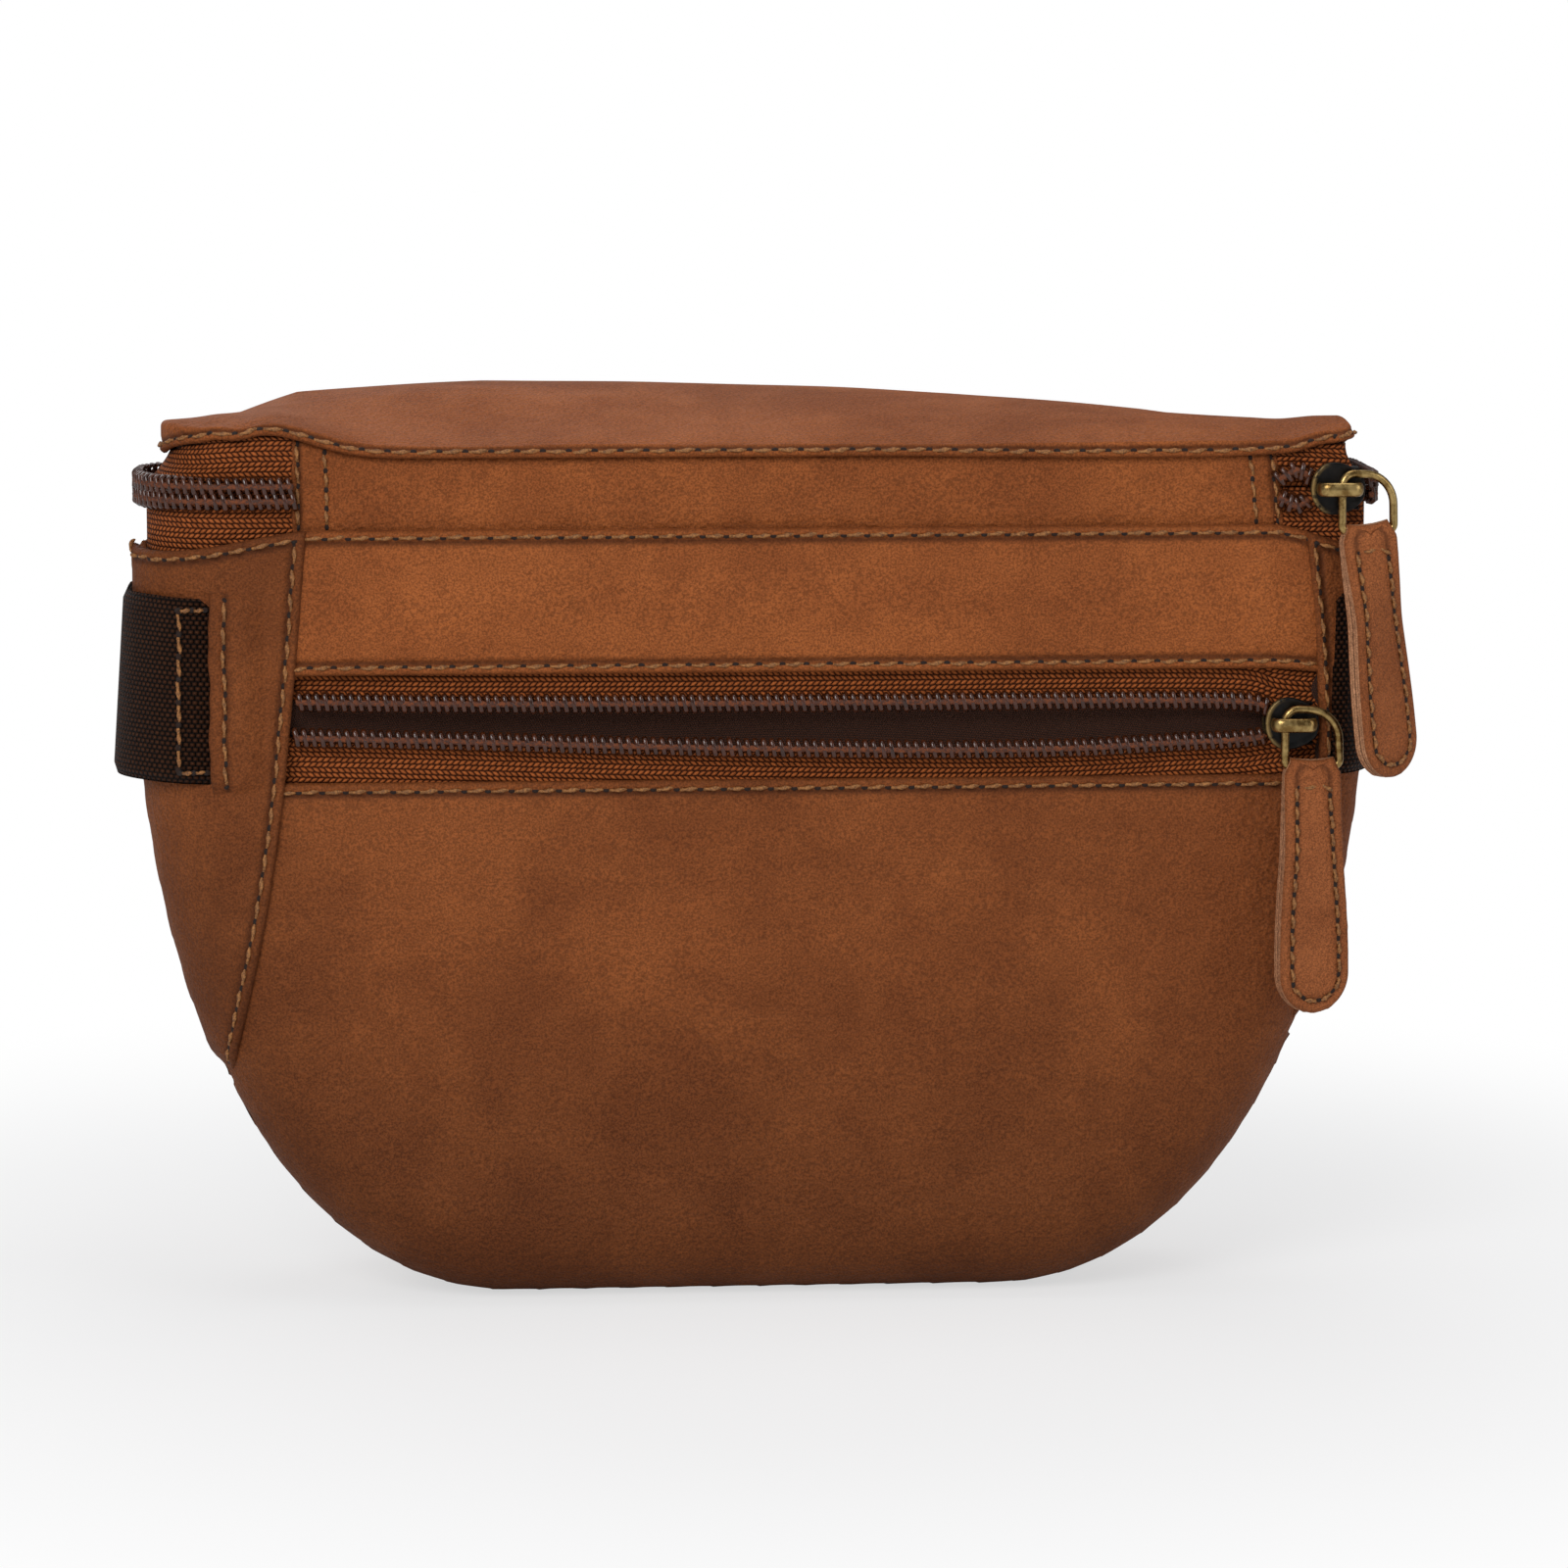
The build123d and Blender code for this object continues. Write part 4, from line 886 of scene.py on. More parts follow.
lid = {"edge": 2.6, "rise": 6.0, "crown": 3.4, "overhang": 9.0, "bulge": 1.6, "cornerLeft": 20.0,
       "cornerRight": 5.5,
       "humpLeft": 4.8, "humpRight": 2.0, "drawIn": (5.0, 4.0)}
farOffsets = [(-130, -4.0), (-118, -2.6), (-94, 3.2), (-55, 3.2), (-15, 1.6), (25, 0.4), (45, -0.2),
              (85, -2.0), (105, -3.6), (116, -5.2), (130, -5.6)]


def drawnIn(grid):
    # above the zip the ends lean inwards
    x, z = grid[..., 0], grid[..., 2]
    rise = smooth((z - 165.5) / 9.5)
    out = grid.copy()
    out[..., 0] = (x + lid["drawIn"][0] * smooth((-x - 95) / 30) * rise - lid["drawIn"][1]
                   * smooth((x - 98) / 27) * rise)
    return out


def lipHump(x):
    return (lid["humpLeft"] * np.exp(-((x + 99) / 13) ** 2) + 2.4 * smooth((-x - 104) / 10)
            * smooth((x + 135) / 12)
            + lid["humpRight"] * smooth((x - 108) / 12))


def threePointZ(y, points):
    # height of the circle through three points
    (ax, ay), (bx, by), (cx, cy) = points
    d = 2 * (ax * (by - cy) + bx * (cy - ay) + cx * (ay - by))
    ux = (((ax ** 2 + ay ** 2) * (by - cy) + (bx ** 2 + by ** 2) * (cy - ay) + (cx ** 2 + cy ** 2)
           * (ay - by)) / d)
    uy = (((ax ** 2 + ay ** 2) * (cx - bx) + (bx ** 2 + by ** 2) * (ax - cx) + (cx ** 2 + cy ** 2)
           * (bx - ax)) / d)
    r = math.hypot(ax - ux, ay - uy)
    return uy + np.sqrt(np.clip(r * r - (y - ux) ** 2, 0, None))


def lidTop(x, y):
    near = pack["lipZ"] + lid["edge"]
    far = near + lid["rise"]
    slope = threePointZ(y, [(-34, near), (1, near + lid["rise"] / 2 + lid["bulge"]), (36, far)])
    end = pack["halfWidth"] + lid["overhang"]
    crown = threePointZ(x, [(-end, far - lid["crown"]), (0, far), (end, far - lid["crown"])])
    top = np.minimum(slope, crown)
    far = np.interp(x, [a for a, _ in farOffsets], [b for _, b in farOffsets]) * smooth((y + 22) / 42)
    near = lipHump(x) * smooth((6 - y) / 38)
    return top + far + near + 0.35 * softNoise(x, y, 55, 41)


def lidRings(inset, drop, skirt, rings):
    nearLine = planLine(inset, lid["cornerLeft"], lid["cornerRight"], 0.0, 0.0)
    side = 4.0      # where the near half meets the far half
    # near part from the left side to the right side, far part back
    leftAt = np.nonzero((nearLine[:, 0] < 0) & (nearLine[:, 1] >= side))[0][0]
    rightAt = np.nonzero((nearLine[:, 0] > 0) & (nearLine[:, 1] < side))[0][0]
    farPart = nearLine[leftAt:rightAt]
    nearPart = np.vstack([nearLine[rightAt:], nearLine[1:leftAt]])[::-1]
    count = 190
    far, near = evenPoints(farPart, count), evenPoints(nearPart, count)
    ring = np.vstack([near, far[::-1]])
    fractions = np.linspace(0, 1, count)
    spine = np.stack([-88 + 176 * fractions, np.full(count, 4.0)], axis=1)
    centre = np.vstack([spine, spine[::-1]])
    grid = []
    lowZ = pack["lipZ"]
    x, y = ring[:, 0], ring[:, 1]
    low = (lowZ + lipHump(x) * smooth((-12 - y) / 18) - 0.6 * smooth((x - 20) / 50)
           * smooth((110 - x) / 20) * smooth((-30 - y) / 4))
    low = low + 0.6 * smooth((x - 119.5) / 5.5) * smooth((-14 - y) / 14)
    topHere = lidTop(x, y) - drop
    for s in skirt:
        z = low * (1 - s) + (topHere - 1.3) * s
        grid.append(np.column_stack([ring, np.minimum(z, topHere - 0.9) if s < 1 else z]))
    for s in np.linspace(0.15, 1, 7):
        a = s * math.pi / 2
        pull = 1.3 * (1 - math.cos(a))
        d = centre - ring
        d = d / np.linalg.norm(d, axis=1, keepdims=True)
        flat = ring + d * pull
        z = topHere - 1.3 + 1.3 * math.sin(a)
        grid.append(np.column_stack([flat, z]))
    base = flat
    for t in rings:
        p = base * (1 - t) + centre * t
        z = lidTop(p[:, 0], p[:, 1]) - drop
        start = lidTop(base[:, 0], base[:, 1]) - drop
        grid.append(np.column_stack([p, z + (topHere - start) * (1 - t) ** 4]))
    return drawnIn(np.stack(grid, axis=1))


def buildLid():
    skirt = [0, 0.03, 0.1, 0.22, 0.36, 0.5, 0.64, 0.78, 0.9, 1.0]
    rings = np.concatenate([np.linspace(0.02, 0.3, 11), np.linspace(0.35, 1, 16)])
    grid = lidRings(0.0, 0.0, skirt, rings)
    # painted light: the lid, facing up, is brightened
    toneAndPaintedLight = toneOver(np.stack([grid[..., 0], grid[..., 2], grid[..., 1]], axis=-1), 16) * 1.24
    piece, *rest = sheetPiece("lidPanel", grid, shellLeather, folds=["v0"], wrap=True,
                              centre=(0, 0, 150),
                              toneAndPaintedLight=toneAndPaintedLight, groove=2.0, depth=0.34, puff=0.3, flatRings=9, spine=True)
    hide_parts("lid_panel")
    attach(piece, "lid")
    addRow(*rest, "v0", 2.0, pitch=5.2, body="lid", trim=(0, 0), closed=True)
    grid = lidRings(3.2, 2.4, [0, 0.5, 1.0], np.linspace(0.06, 1, 14))
    grid[..., 2] += 0.25 * softNoise(grid[..., 0], grid[..., 1], 18, 51) - 0.35
    grid[..., 2] = np.maximum(grid[..., 2], pack["lipZ"] + 0.3)
    piece, *rest = sheetPiece("lidLining", grid, liningCloth, wrap=True, thick=0.5,
                              centre=(0, 0, 150),
                              flatRings=7, spine=True)
    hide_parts("lid_lining")
    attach(piece, "lid")


buildLid()
buildBand()
bpy.context.view_layer.update()

print("zips")
zipper = {"tape": 0.6, "coilHigh": 3.3, "coilThick": 2.4, "pitch": 1.72, "gap": 0.1, "leather": 1.6}
teethSpots = {}      # body -> [(place, axes, size)]
bandPaths = []       # sewing that runs along the rows


def addTeeth(path, outward, body, start=0.0, keep=None):
    # teeth stand along a path; outward is the direction they bulge to
    run = runOf(path)
    shownRuns = [k for k in range(len(path)) if keep is None or keep(path[k])]
    for part in np.split(shownRuns, np.nonzero(np.diff(shownRuns) > 1)[0] + 1):
        if len(part) > 3:
            bandPaths.append((path[part] + outward[part] * 1.42, body))
    places = atRuns(path, np.arange(start, run[-1], zipper["pitch"]))
    outs = atRuns(np.column_stack([path, outward]), np.arange(start, run[-1], zipper["pitch"]))[:, 3:]
    tangents = np.gradient(places, axis=0)
    for place, out, tangent in zip(places, outs, tangents):
        if keep is not None and not keep(place):
            continue
        x = Vector(tangent).normalized()
        y = Vector(out) - x * Vector(out).dot(x)
        y.normalize()
        z = x.cross(y) * -1
        if z.z < 0:
            z = -z
        x = y.cross(z)
        teethSpots.setdefault(body, []).append((place, Matrix((x, y, z)).transposed(),
                                                rng.uniform(0.97, 1.03)))


def outwardOf(plan):
    tangent = np.gradient(plan, axis=0)
    tangent = tangent / np.linalg.norm(tangent, axis=1, keepdims=True)
    out = np.stack([-tangent[:, 1], tangent[:, 0]], axis=1)
    if (out * (plan - np.array([0, 0]))).sum() < 0:
        out = -out
    return out


def raised(plan, z):
    return np.column_stack([plan, np.full(len(plan), z) if np.isscalar(z) else z])


def ringStrip(name, plan, zLow, zHigh, material, thick, rows=8, bow=0.0, low=None):
    # an upright strip that follows a plan line
    vs = np.linspace(0, 1, rows)
    grid = np.stack([raised(plan, zLow * (1 - v) + zHigh * v) for v in vs], axis=1)
    out = outwardOf(plan)
    grid[..., :2] += out[:, None] * (bow * np.sin(vs * math.pi))[None, :, None]
    lifted = grid.copy()
    lifted[..., 2] += (lipHump(grid[..., 0]) * smooth((-12 - grid[..., 1]) / 18)
                       * smooth((grid[..., 2] - 168) / 5))
    grid = drawnIn(lifted)
    return sheetPiece(name, grid, material, thick=thick, centre=(0, 0, 160))[0]


def buildMainZip():
    inset = zipper["leather"] + zipper["tape"] / 2
    whole = evenPoints(planLine(inset, 20.0, 3.5, -93.0, 105.0), 420)
    split = whole[:, 1] >= -10.0
    lidSpan = np.nonzero(split)[0]
    first, last = lidSpan[0], lidSpan[-1]
    z, lip = pack["mainZ"], pack["lipZ"]
    gap = zipper["gap"]
    body = ringStrip("mainTapeBody", whole, 153.5, z - gap, zipTape, zipper["tape"], 12)
    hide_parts("main_tape_body")
    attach(body, "pack")
    onLid = ringStrip("mainTapeLid", whole[first:last + 1], z + gap, lip + 0.9, zipTape,
                      zipper["tape"], 8)
    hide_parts("main_tape_lid")
    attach(onLid, "lid")
    ends = {"Left": whole[:first], "Right": whole[last + 1:]}
    for side, plan in ends.items():
        piece = ringStrip("mainTapeEnd" + side, plan, z + gap, lip - 0.1, zipTape,
                          zipper["tape"], 8)
        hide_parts("main_tape_end_" + side.lower())
        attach(piece, "pack")
    # rows: the upper one parts from the lower one before the slider's nose
    coil = evenPoints(planLine(zipper["leather"] - 0.75, 20.0, 3.5, -93.5, 105.5), 900)
    out = outwardOf(coil)
    parted = 2.5 * smooth((coil[:, 0] - 104.2) / 6) * smooth((113.5 - coil[:, 0]) / 5) * (coil[:, 1] < -25)
    half = zipper["coilHigh"] / 2
    outs = np.column_stack([out, np.zeros(len(out))])
    shown = lambda place: not (110.6 < place[0] < 126 and place[1] < -28 and abs(place[0] - 117.5) < 5.6)
    low = raised(coil, z - gap - half + 0.25 - parted)
    high = raised(coil, z + gap + half - 0.25 + parted)
    addTeeth(low, outs, "pack:main_coil_body", keep=shown)
    isLid = lambda place: place[1] >= -10.0
    isLeft = lambda place: place[1] < -10.0 and place[0] < 0
    isRight = lambda place: place[1] < -10.0 and place[0] > 0 and shown(place)
    for key, rule in (("lid:main_coil_lid", isLid), ("pack:main_coil_end_left", isLeft),
                      ("pack:main_coil_end_right", isRight)):
        addTeeth(high, outs, key, start=zipper["pitch"] / 2, keep=rule)


pocketRows = {
    "upper": [(-93.0, 5.9), (-60, 5.3), (-20, 5.0), (30, 4.9), (75, 4.9), (95, 4.6), (101.5, 4.0),
              (105.5, 2.6), (112.2, 1.8)],
    "lower": [(-93.0, -1.4), (-60, -2.4), (-20, -3.8), (30, -4.9), (62, -4.9), (85, -3.9), (98.0, -3.4),
              (104.5, -2.6), (112.2, -1.8)],
    "z": 119.0, "tapeY": -32.1,
}


def buildPocketZip():
    for name, sign, edgeZ in (("upper", 1, 136.0), ("lower", -1, 102.3)):
        ends = pocketRows[name]
        row = curveThrough([(-99.0, ends[0][1])] + ends + [(118.0, ends[-1][1])], 280)
        row[:, 1] += pocketRows["z"]
        vs = np.linspace(0, 1, 14)
        xs, zs = row[:, 0], row[:, 1]
        grid = np.stack([np.stack([xs, np.full(len(xs), pocketRows["tapeY"]), zs * (1 - v) + edgeZ * v],
                                  axis=1) for v in vs], axis=1)
        dip = smooth((grid[..., 2] - zs[:, None]) * sign / 9)
        grid[..., 1] += 0.7 * np.sin(dip * math.pi) + 0.25 * softNoise(grid[..., 0], grid[..., 2], 24, 61)
        piece, *rest = sheetPiece("pocketTape" + name.capitalize(), grid, zipTape,
                                  thick=zipper["tape"], centre=(0, 20, 119))
        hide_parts("pocket_tape_" + name)
        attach(piece, "pack")
        path = np.column_stack([xs, np.full(len(xs), pocketRows["tapeY"] - 1.2), zs])
        shown = lambda place: -93.8 < place[0] < 103.6
        facing = np.tile([0.0, -1.0, 0.0], (len(path), 1))
        start = 0.4 + (zipper["pitch"] / 2 if sign > 0 else 0)
        addTeeth(path, facing, "pack:pocket_coil_" + name, start=start, keep=shown)


buildMainZip()
buildPocketZip()


def toothShape():
    # a loop of the coil: a bent rod, a little slanted
    arc = [(-0.35, -1.5), (0.75, -1.66), (1.38, -1.25), (1.3, 0.0), (1.38, 1.25), (0.75, 1.66),
           (-0.35, 1.5)]
    return np.array([(0.24 * z, y, z) for y, z in arc])


def bareMesh(name, verts, faces):
    mesh = bpy.data.meshes.new(name)
    mesh.from_pydata([tuple(p) for p in np.asarray(verts, float) * mm], [], faces)
    mesh.shade_smooth()
    shape = bpy.data.objects.new(name, mesh)
    return shape


def sweptVerts(path, radiusA, radiusB, sides, twist=0.0):
    tangent = np.gradient(path, axis=0)
    tangent = tangent / np.linalg.norm(tangent, axis=1, keepdims=True)
    ref = np.array([1.0, 0.0, 0.0]) if abs(tangent[:, 0]).mean() < 0.5 else np.array([0.0, 1.0, 0.0])
    side = ref - tangent * (tangent @ ref)[:, None]
    side = side / np.linalg.norm(side, axis=1, keepdims=True)
    over = np.cross(tangent, side)
    angles = np.linspace(0, math.tau, sides, endpoint=False)
    rings = []
    for k, p in enumerate(path):
        turn = twist * k / (len(path) - 1)
        ca, sa = np.cos(angles)[:, None] * radiusA[k], np.sin(angles)[:, None] * radiusB[k]
        s = side[k] * math.cos(turn) + over[k] * math.sin(turn)
        o = over[k] * math.cos(turn) - side[k] * math.sin(turn)
        rings.append(p + s * ca + o * sa)
    faces = gridFaces(len(path), sides, wrapV=True)
    last = (len(path) - 1) * sides
    faces += [tuple(range(sides))[::-1], tuple(last + k for k in range(sides))]
    return np.vstack(rings), faces


def repeatGroup():
    # puts a copy of one shape on every point, turned and sized by the points' attributes
    tree = bpy.data.node_groups.new("repeatOnPoints", "GeometryNodeTree")
    for key, kind in (("Points", "NodeSocketGeometry"), ("Shape", "NodeSocketObject"),
                      ("Material", "NodeSocketMaterial")):
        tree.interface.new_socket(key, in_out="INPUT", socket_type=kind)
    tree.interface.new_socket("Copies", in_out="OUTPUT", socket_type="NodeSocketGeometry")
    start, end = tree.nodes.new("NodeGroupInput"), tree.nodes.new("NodeGroupOutput")
    info = tree.nodes.new("GeometryNodeObjectInfo")
    tree.links.new(start.outputs["Shape"], info.inputs["Object"])
    turn, grow = (tree.nodes.new("GeometryNodeInputNamedAttribute"),
                  tree.nodes.new("GeometryNodeInputNamedAttribute"))
    turn.data_type, grow.data_type = "FLOAT_VECTOR", "FLOAT_VECTOR"
    turn.inputs["Name"].default_value, grow.inputs["Name"].default_value = "turn", "grow"
    put = tree.nodes.new("GeometryNodeInstanceOnPoints")
    tree.links.new(start.outputs["Points"], put.inputs["Points"])
    tree.links.new(info.outputs["Geometry"], put.inputs["Instance"])
    tree.links.new(turn.outputs[0], put.inputs["Rotation"])
    tree.links.new(grow.outputs[0], put.inputs["Scale"])
    real = tree.nodes.new("GeometryNodeRealizeInstances")
    tree.links.new(put.outputs[0], real.inputs[0])
    paint = tree.nodes.new("GeometryNodeSetMaterial")
    tree.links.new(real.outputs[0], paint.inputs["Geometry"])
    tree.links.new(start.outputs["Material"], paint.inputs["Material"])
    tree.links.new(paint.outputs[0], end.inputs[0])
    return tree


repeatTree = repeatGroup()


def repeatOn(name, spots, shape, material):
    # spots are (place in mm, 3x3 axes, (sx, sy, sz)); the result is a plain mesh
    mesh = bpy.data.meshes.new(name + "Points")
    mesh.from_pydata([tuple(np.asarray(place) * mm) for place, _, _ in spots], [], [])
    turns = mesh.attributes.new("turn", "FLOAT_VECTOR", "POINT")
    grows = mesh.attributes.new("grow", "FLOAT_VECTOR", "POINT")
    for k, (_, axes, size) in enumerate(spots):
        turns.data[k].vector = axes.to_euler("XYZ")
        grows.data[k].vector = (size,) * 3 if np.isscalar(size) else size
    holder = bpy.data.objects.new(name + "Points", mesh)
    bpy.context.scene.collection.objects.link(holder)
    modifier = holder.modifiers.new("repeat", "NODES")
    modifier.node_group = repeatTree
    sockets = {item.name: item.identifier for item in repeatTree.interface.items_tree
               if item.in_out == "INPUT"}
    modifier[sockets["Shape"]] = shape
    modifier[sockets["Material"]] = material
    holder.update_tag()
    graph = bpy.context.evaluated_depsgraph_get()
    baked = bpy.data.meshes.new_from_object(holder.evaluated_get(graph))
    baked.name = name
    holder.modifiers.remove(modifier)
    bpy.data.objects.remove(holder, do_unlink=True)
    baked.materials.clear()
    baked.materials.append(material)
    baked.shade_smooth()
    piece = bpy.data.objects.new(name, baked)
    bpy.context.scene.collection.objects.link(piece)
    return piece


toothPath = toothShape()
toothVerts, toothFaces = sweptVerts(toothPath, np.full(7, 0.6), np.full(7, 0.5), 6)
tooth = bareMesh("tooth", toothVerts, toothFaces)
for k, (path, key) in enumerate(bandPaths):
    bodyName, nodeName = key.split(":")
    band = evenPoints(path, max(int(runOf(path)[-1] / 0.8), 6))
    ripple = 1 + 0.16 * np.sin(np.arange(len(band)) * 2.2)
    piece = tubePiece(f"sewing_{nodeName}_{k}", band, coilThread, 0.34 * ripple, 0.62 * ripple,
                      sides=8)
    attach(piece, bodyName)
for key, spots in teethSpots.items():
    bodyName, nodeName = key.split(":")
    piece = repeatOn("teeth_" + nodeName, spots, tooth, coilNylon)
    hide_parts(nodeName)
    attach(piece, bodyName)

print("linings")


def buildPocketLining():
    # the far wall and the two folds of the pocket, seen through its mouth
    us, vs = np.linspace(0, 1, 90), np.linspace(0, 1, 50)
    x = -97.0 + 212.0 * us[:, None] + 0 * vs[None]
    z = 25.0 + 114.0 * vs[None] + 0 * us[:, None]
    narrow = smooth((95 - z) / 70)
    x = x * (1 - 0.36 * narrow)
    depth = (5.4 * np.sin(np.clip(vs[None] * 1.04, 0, 1) * math.pi) ** 0.4
             * np.sin(us[:, None] * math.pi) ** 0.25)
    y = -32.0 + np.maximum(depth, 0.3) + 0.45 * softNoise(x, z * 1.6, 22, 71) * smooth(depth / 3)
    grid = np.stack([x, y, z], axis=-1)
    back, *_ = sheetPiece("pocketLiningFar", grid, liningCloth, thick=0.5,
                          centre=(0, -90, 90))
    low = grid.copy()
    keep = vs <= 0.67
    low = low[:, keep]
    low[..., 1] = -31.75
    low[..., 2] = np.minimum(low[..., 2], 101.5)
    near, *_ = sheetPiece("pocketLiningNear", low, liningCloth, thick=0.4,
                          centre=(0, 90, 90))
    piece = joined("pocketLining", [back, near])
    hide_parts("lining_pocket")
    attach(piece, "pack")


def buildMainLining():
    # a soft bag inside the leather, open at the top
    top = pack["bodyTop"] - 6.5
    plan = evenPoints(planLine(2.6, 19.0, 12.0, 0.0, 0.0), 200)
    rows = []
    for v in np.concatenate([np.linspace(0, 1, 26), [1.0]]):
        z = top * (1 - v) + 2.6 * v
        side = outline[outline[:, 0] > 0]
        half = np.interp(z, side[:, 1], side[:, 0]) - 2.6
        scale = half / (pack["halfWidth"] - 2.6)
        fold = smooth((26 - z) / 24)
        x = plan[:, 0] * scale
        y = np.clip(plan[:, 1], -25.7, 31.4)      # inside the near and far leather
        arc = pack["farCentre"] + np.sqrt((pack["farRadius"] - 2.8) ** 2 - np.clip(np.abs(x), 0, 122) ** 2)
        room = np.minimum(arc, 33.2)
        y = np.minimum(y, room) * (1 - 0.55 * fold ** 2) + 0.55 * fold ** 2 * 3.0
        wave = 0.5 * softNoise(plan[:, 0], z + plan[:, 1] * 2, 30, 81) * smooth((top - z) / 20)
        out = outwardOf(plan)
        rows.append(np.stack([x - out[:, 0] * (0.6 + wave), y - out[:, 1] * (0.6 + wave),
                              np.full(len(x), z)], axis=1))
    last = rows[-1].copy()
    last[:, 0] *= 0.02
    last[:, 1] = 3.0 + (last[:, 1] - 3.0) * 0.02
    rows[-1] = last
    grid = np.stack(rows, axis=1)
    piece, *_ = sheetPiece("mainLining", grid, liningCloth, thick=0.5, wrap=True,
                           centre=(0, 0, 90))
    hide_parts("lining_main")
    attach(piece, "pack")


buildPocketLining()
buildMainLining()

print("pullers")
puller = {"plateY": -36.5, "ringY": -37.9, "wire": 0.85, "ringWide": 11.0, "ringTop": 2.6, "ringBar": 8.6}


def slidersOutline():
    # front plate: broad at the nose, narrowing to the tail
    half = [(-5.7, 0.0), (-5.35, 2.1), (-4.3, 3.9), (-2.6, 5.1), (-0.6, 5.35), (1.6, 4.8), (3.6, 3.7),
            (5.0, 2.1), (5.4, 0.0)]
    line = curveThrough(half, 26)
    mirrored = line[::-1][1:-1] * np.array([1, -1])
    whole = np.vstack([line, mirrored])
    return evenPoints(np.vstack([whole, whole[:1]]), 57)[:-1]


def boxPiece(name, x, y, z, material, rim=0.0):
    corners = [(a, b, c) for a in x for b in y for c in z]
    faces = [(0, 1, 3, 2), (4, 6, 7, 5), (0, 4, 5, 1), (2, 3, 7, 6), (0, 2, 6, 4), (1, 5, 7, 3)]
    piece = meshPiece(name, corners, faces, material, {"rim": np.full(8, rim)})
    work = bmesh.new()
    work.from_mesh(piece.data)
    bmesh.ops.bevel(work, geom=list(work.edges), offset=0.35 * mm, segments=2, affect="EDGES", profile=0.6)
    work.to_mesh(piece.data)
    work.free()
    piece.data.shade_smooth()
    return piece


def buildSlider(name, x, z):
    y = puller["plateY"]
    shape = slidersOutline() + np.array([x, z])
    levels = [(0.5, y + 1.3, 0.0), (0.12, y + 1.25, 0.2), (0.0, y + 1.0, 0.4), (0.0, y + 0.35, 0.5),
              (0.12, y + 0.08, 1.0),
              (0.36, y, 1.0), (0.6, y + 0.02, 0.6), (1.0, y + 0.14, 0.0), (1.7, y + 0.16, 0.0),
              (2.6, y + 0.1, 0.0)]
    verts, faces, rims = ringStack(shape, levels)
    front = meshPiece(name + "Front", verts, faces, lacquer, {"rim": rims})
    backY = -32.4 + 0.6 + 0.4
    levels = [(0.6, backY, 0), (0.1, backY + 0.3, 0.3), (0.1, backY + 1.0, 0.3), (0.6, backY + 1.3, 0)]
    verts, faces, rims = ringStack(shape, levels)
    back = meshPiece(name + "Back", verts, faces, lacquer, {"rim": rims})
    post = boxPiece(name + "Post", (x - 5.3, x - 3.6), (y + 0.6, backY + 0.8), (z - 1.0, z + 1.0),
                    lacquer)
    parts = [front, back, post]
    for sign in (-1, 1):
        low, high = sorted((z + sign * 3.7, z + sign * 4.35))
        parts.append(boxPiece(name + "Flange", (x - 1.0, x + 4.2), (y + 0.6, -33.3), (low, high),
                              lacquer))
    # bridge: a flat rounded bar standing on two feet
    reach, out = 4.2, 2.85
    route = [(x - reach + 0.2, y + 0.4), (x - reach, y - out - 0.2), (x + reach, y - out - 0.2),
             (x + reach - 0.2, y + 0.4)]
    plan = filletRoute(route, [1.7, 1.7])
    path = evenPoints(np.column_stack([plan[:, 0], plan[:, 1], np.full(len(plan), z)]), 34)
    swell = 1 + 0.12 * np.cos(np.linspace(-1.4, 1.4, 34))
    bridge = tubePiece(name + "Bridge", path, brass, 0.66, 1.3 * swell, sides=14)
    parts.append(bridge)
    whole = joined(name, parts)
    return whole


def buildRing(name, x, z):
    y, w = puller["ringY"], puller["ringWide"]
    bottom, top = z - puller["ringBar"], z + puller["ringTop"] + 0.7
    flat = filletRoute([(x, bottom), (x, top), (x + w, top - 0.6), (x + w + 0.3, bottom)],
                       [1.3, 2.6, 6.4, 1.3], closed=True)
    flat = evenPoints(np.vstack([flat, flat[:1]]), 97)[:-1]
    path = np.column_stack([flat[:, 0], np.full(len(flat), y), flat[:, 1]])
    return tubePiece(name, path, brass, puller["wire"], sides=14, closed=True,
                     up=(0, 1, 0))


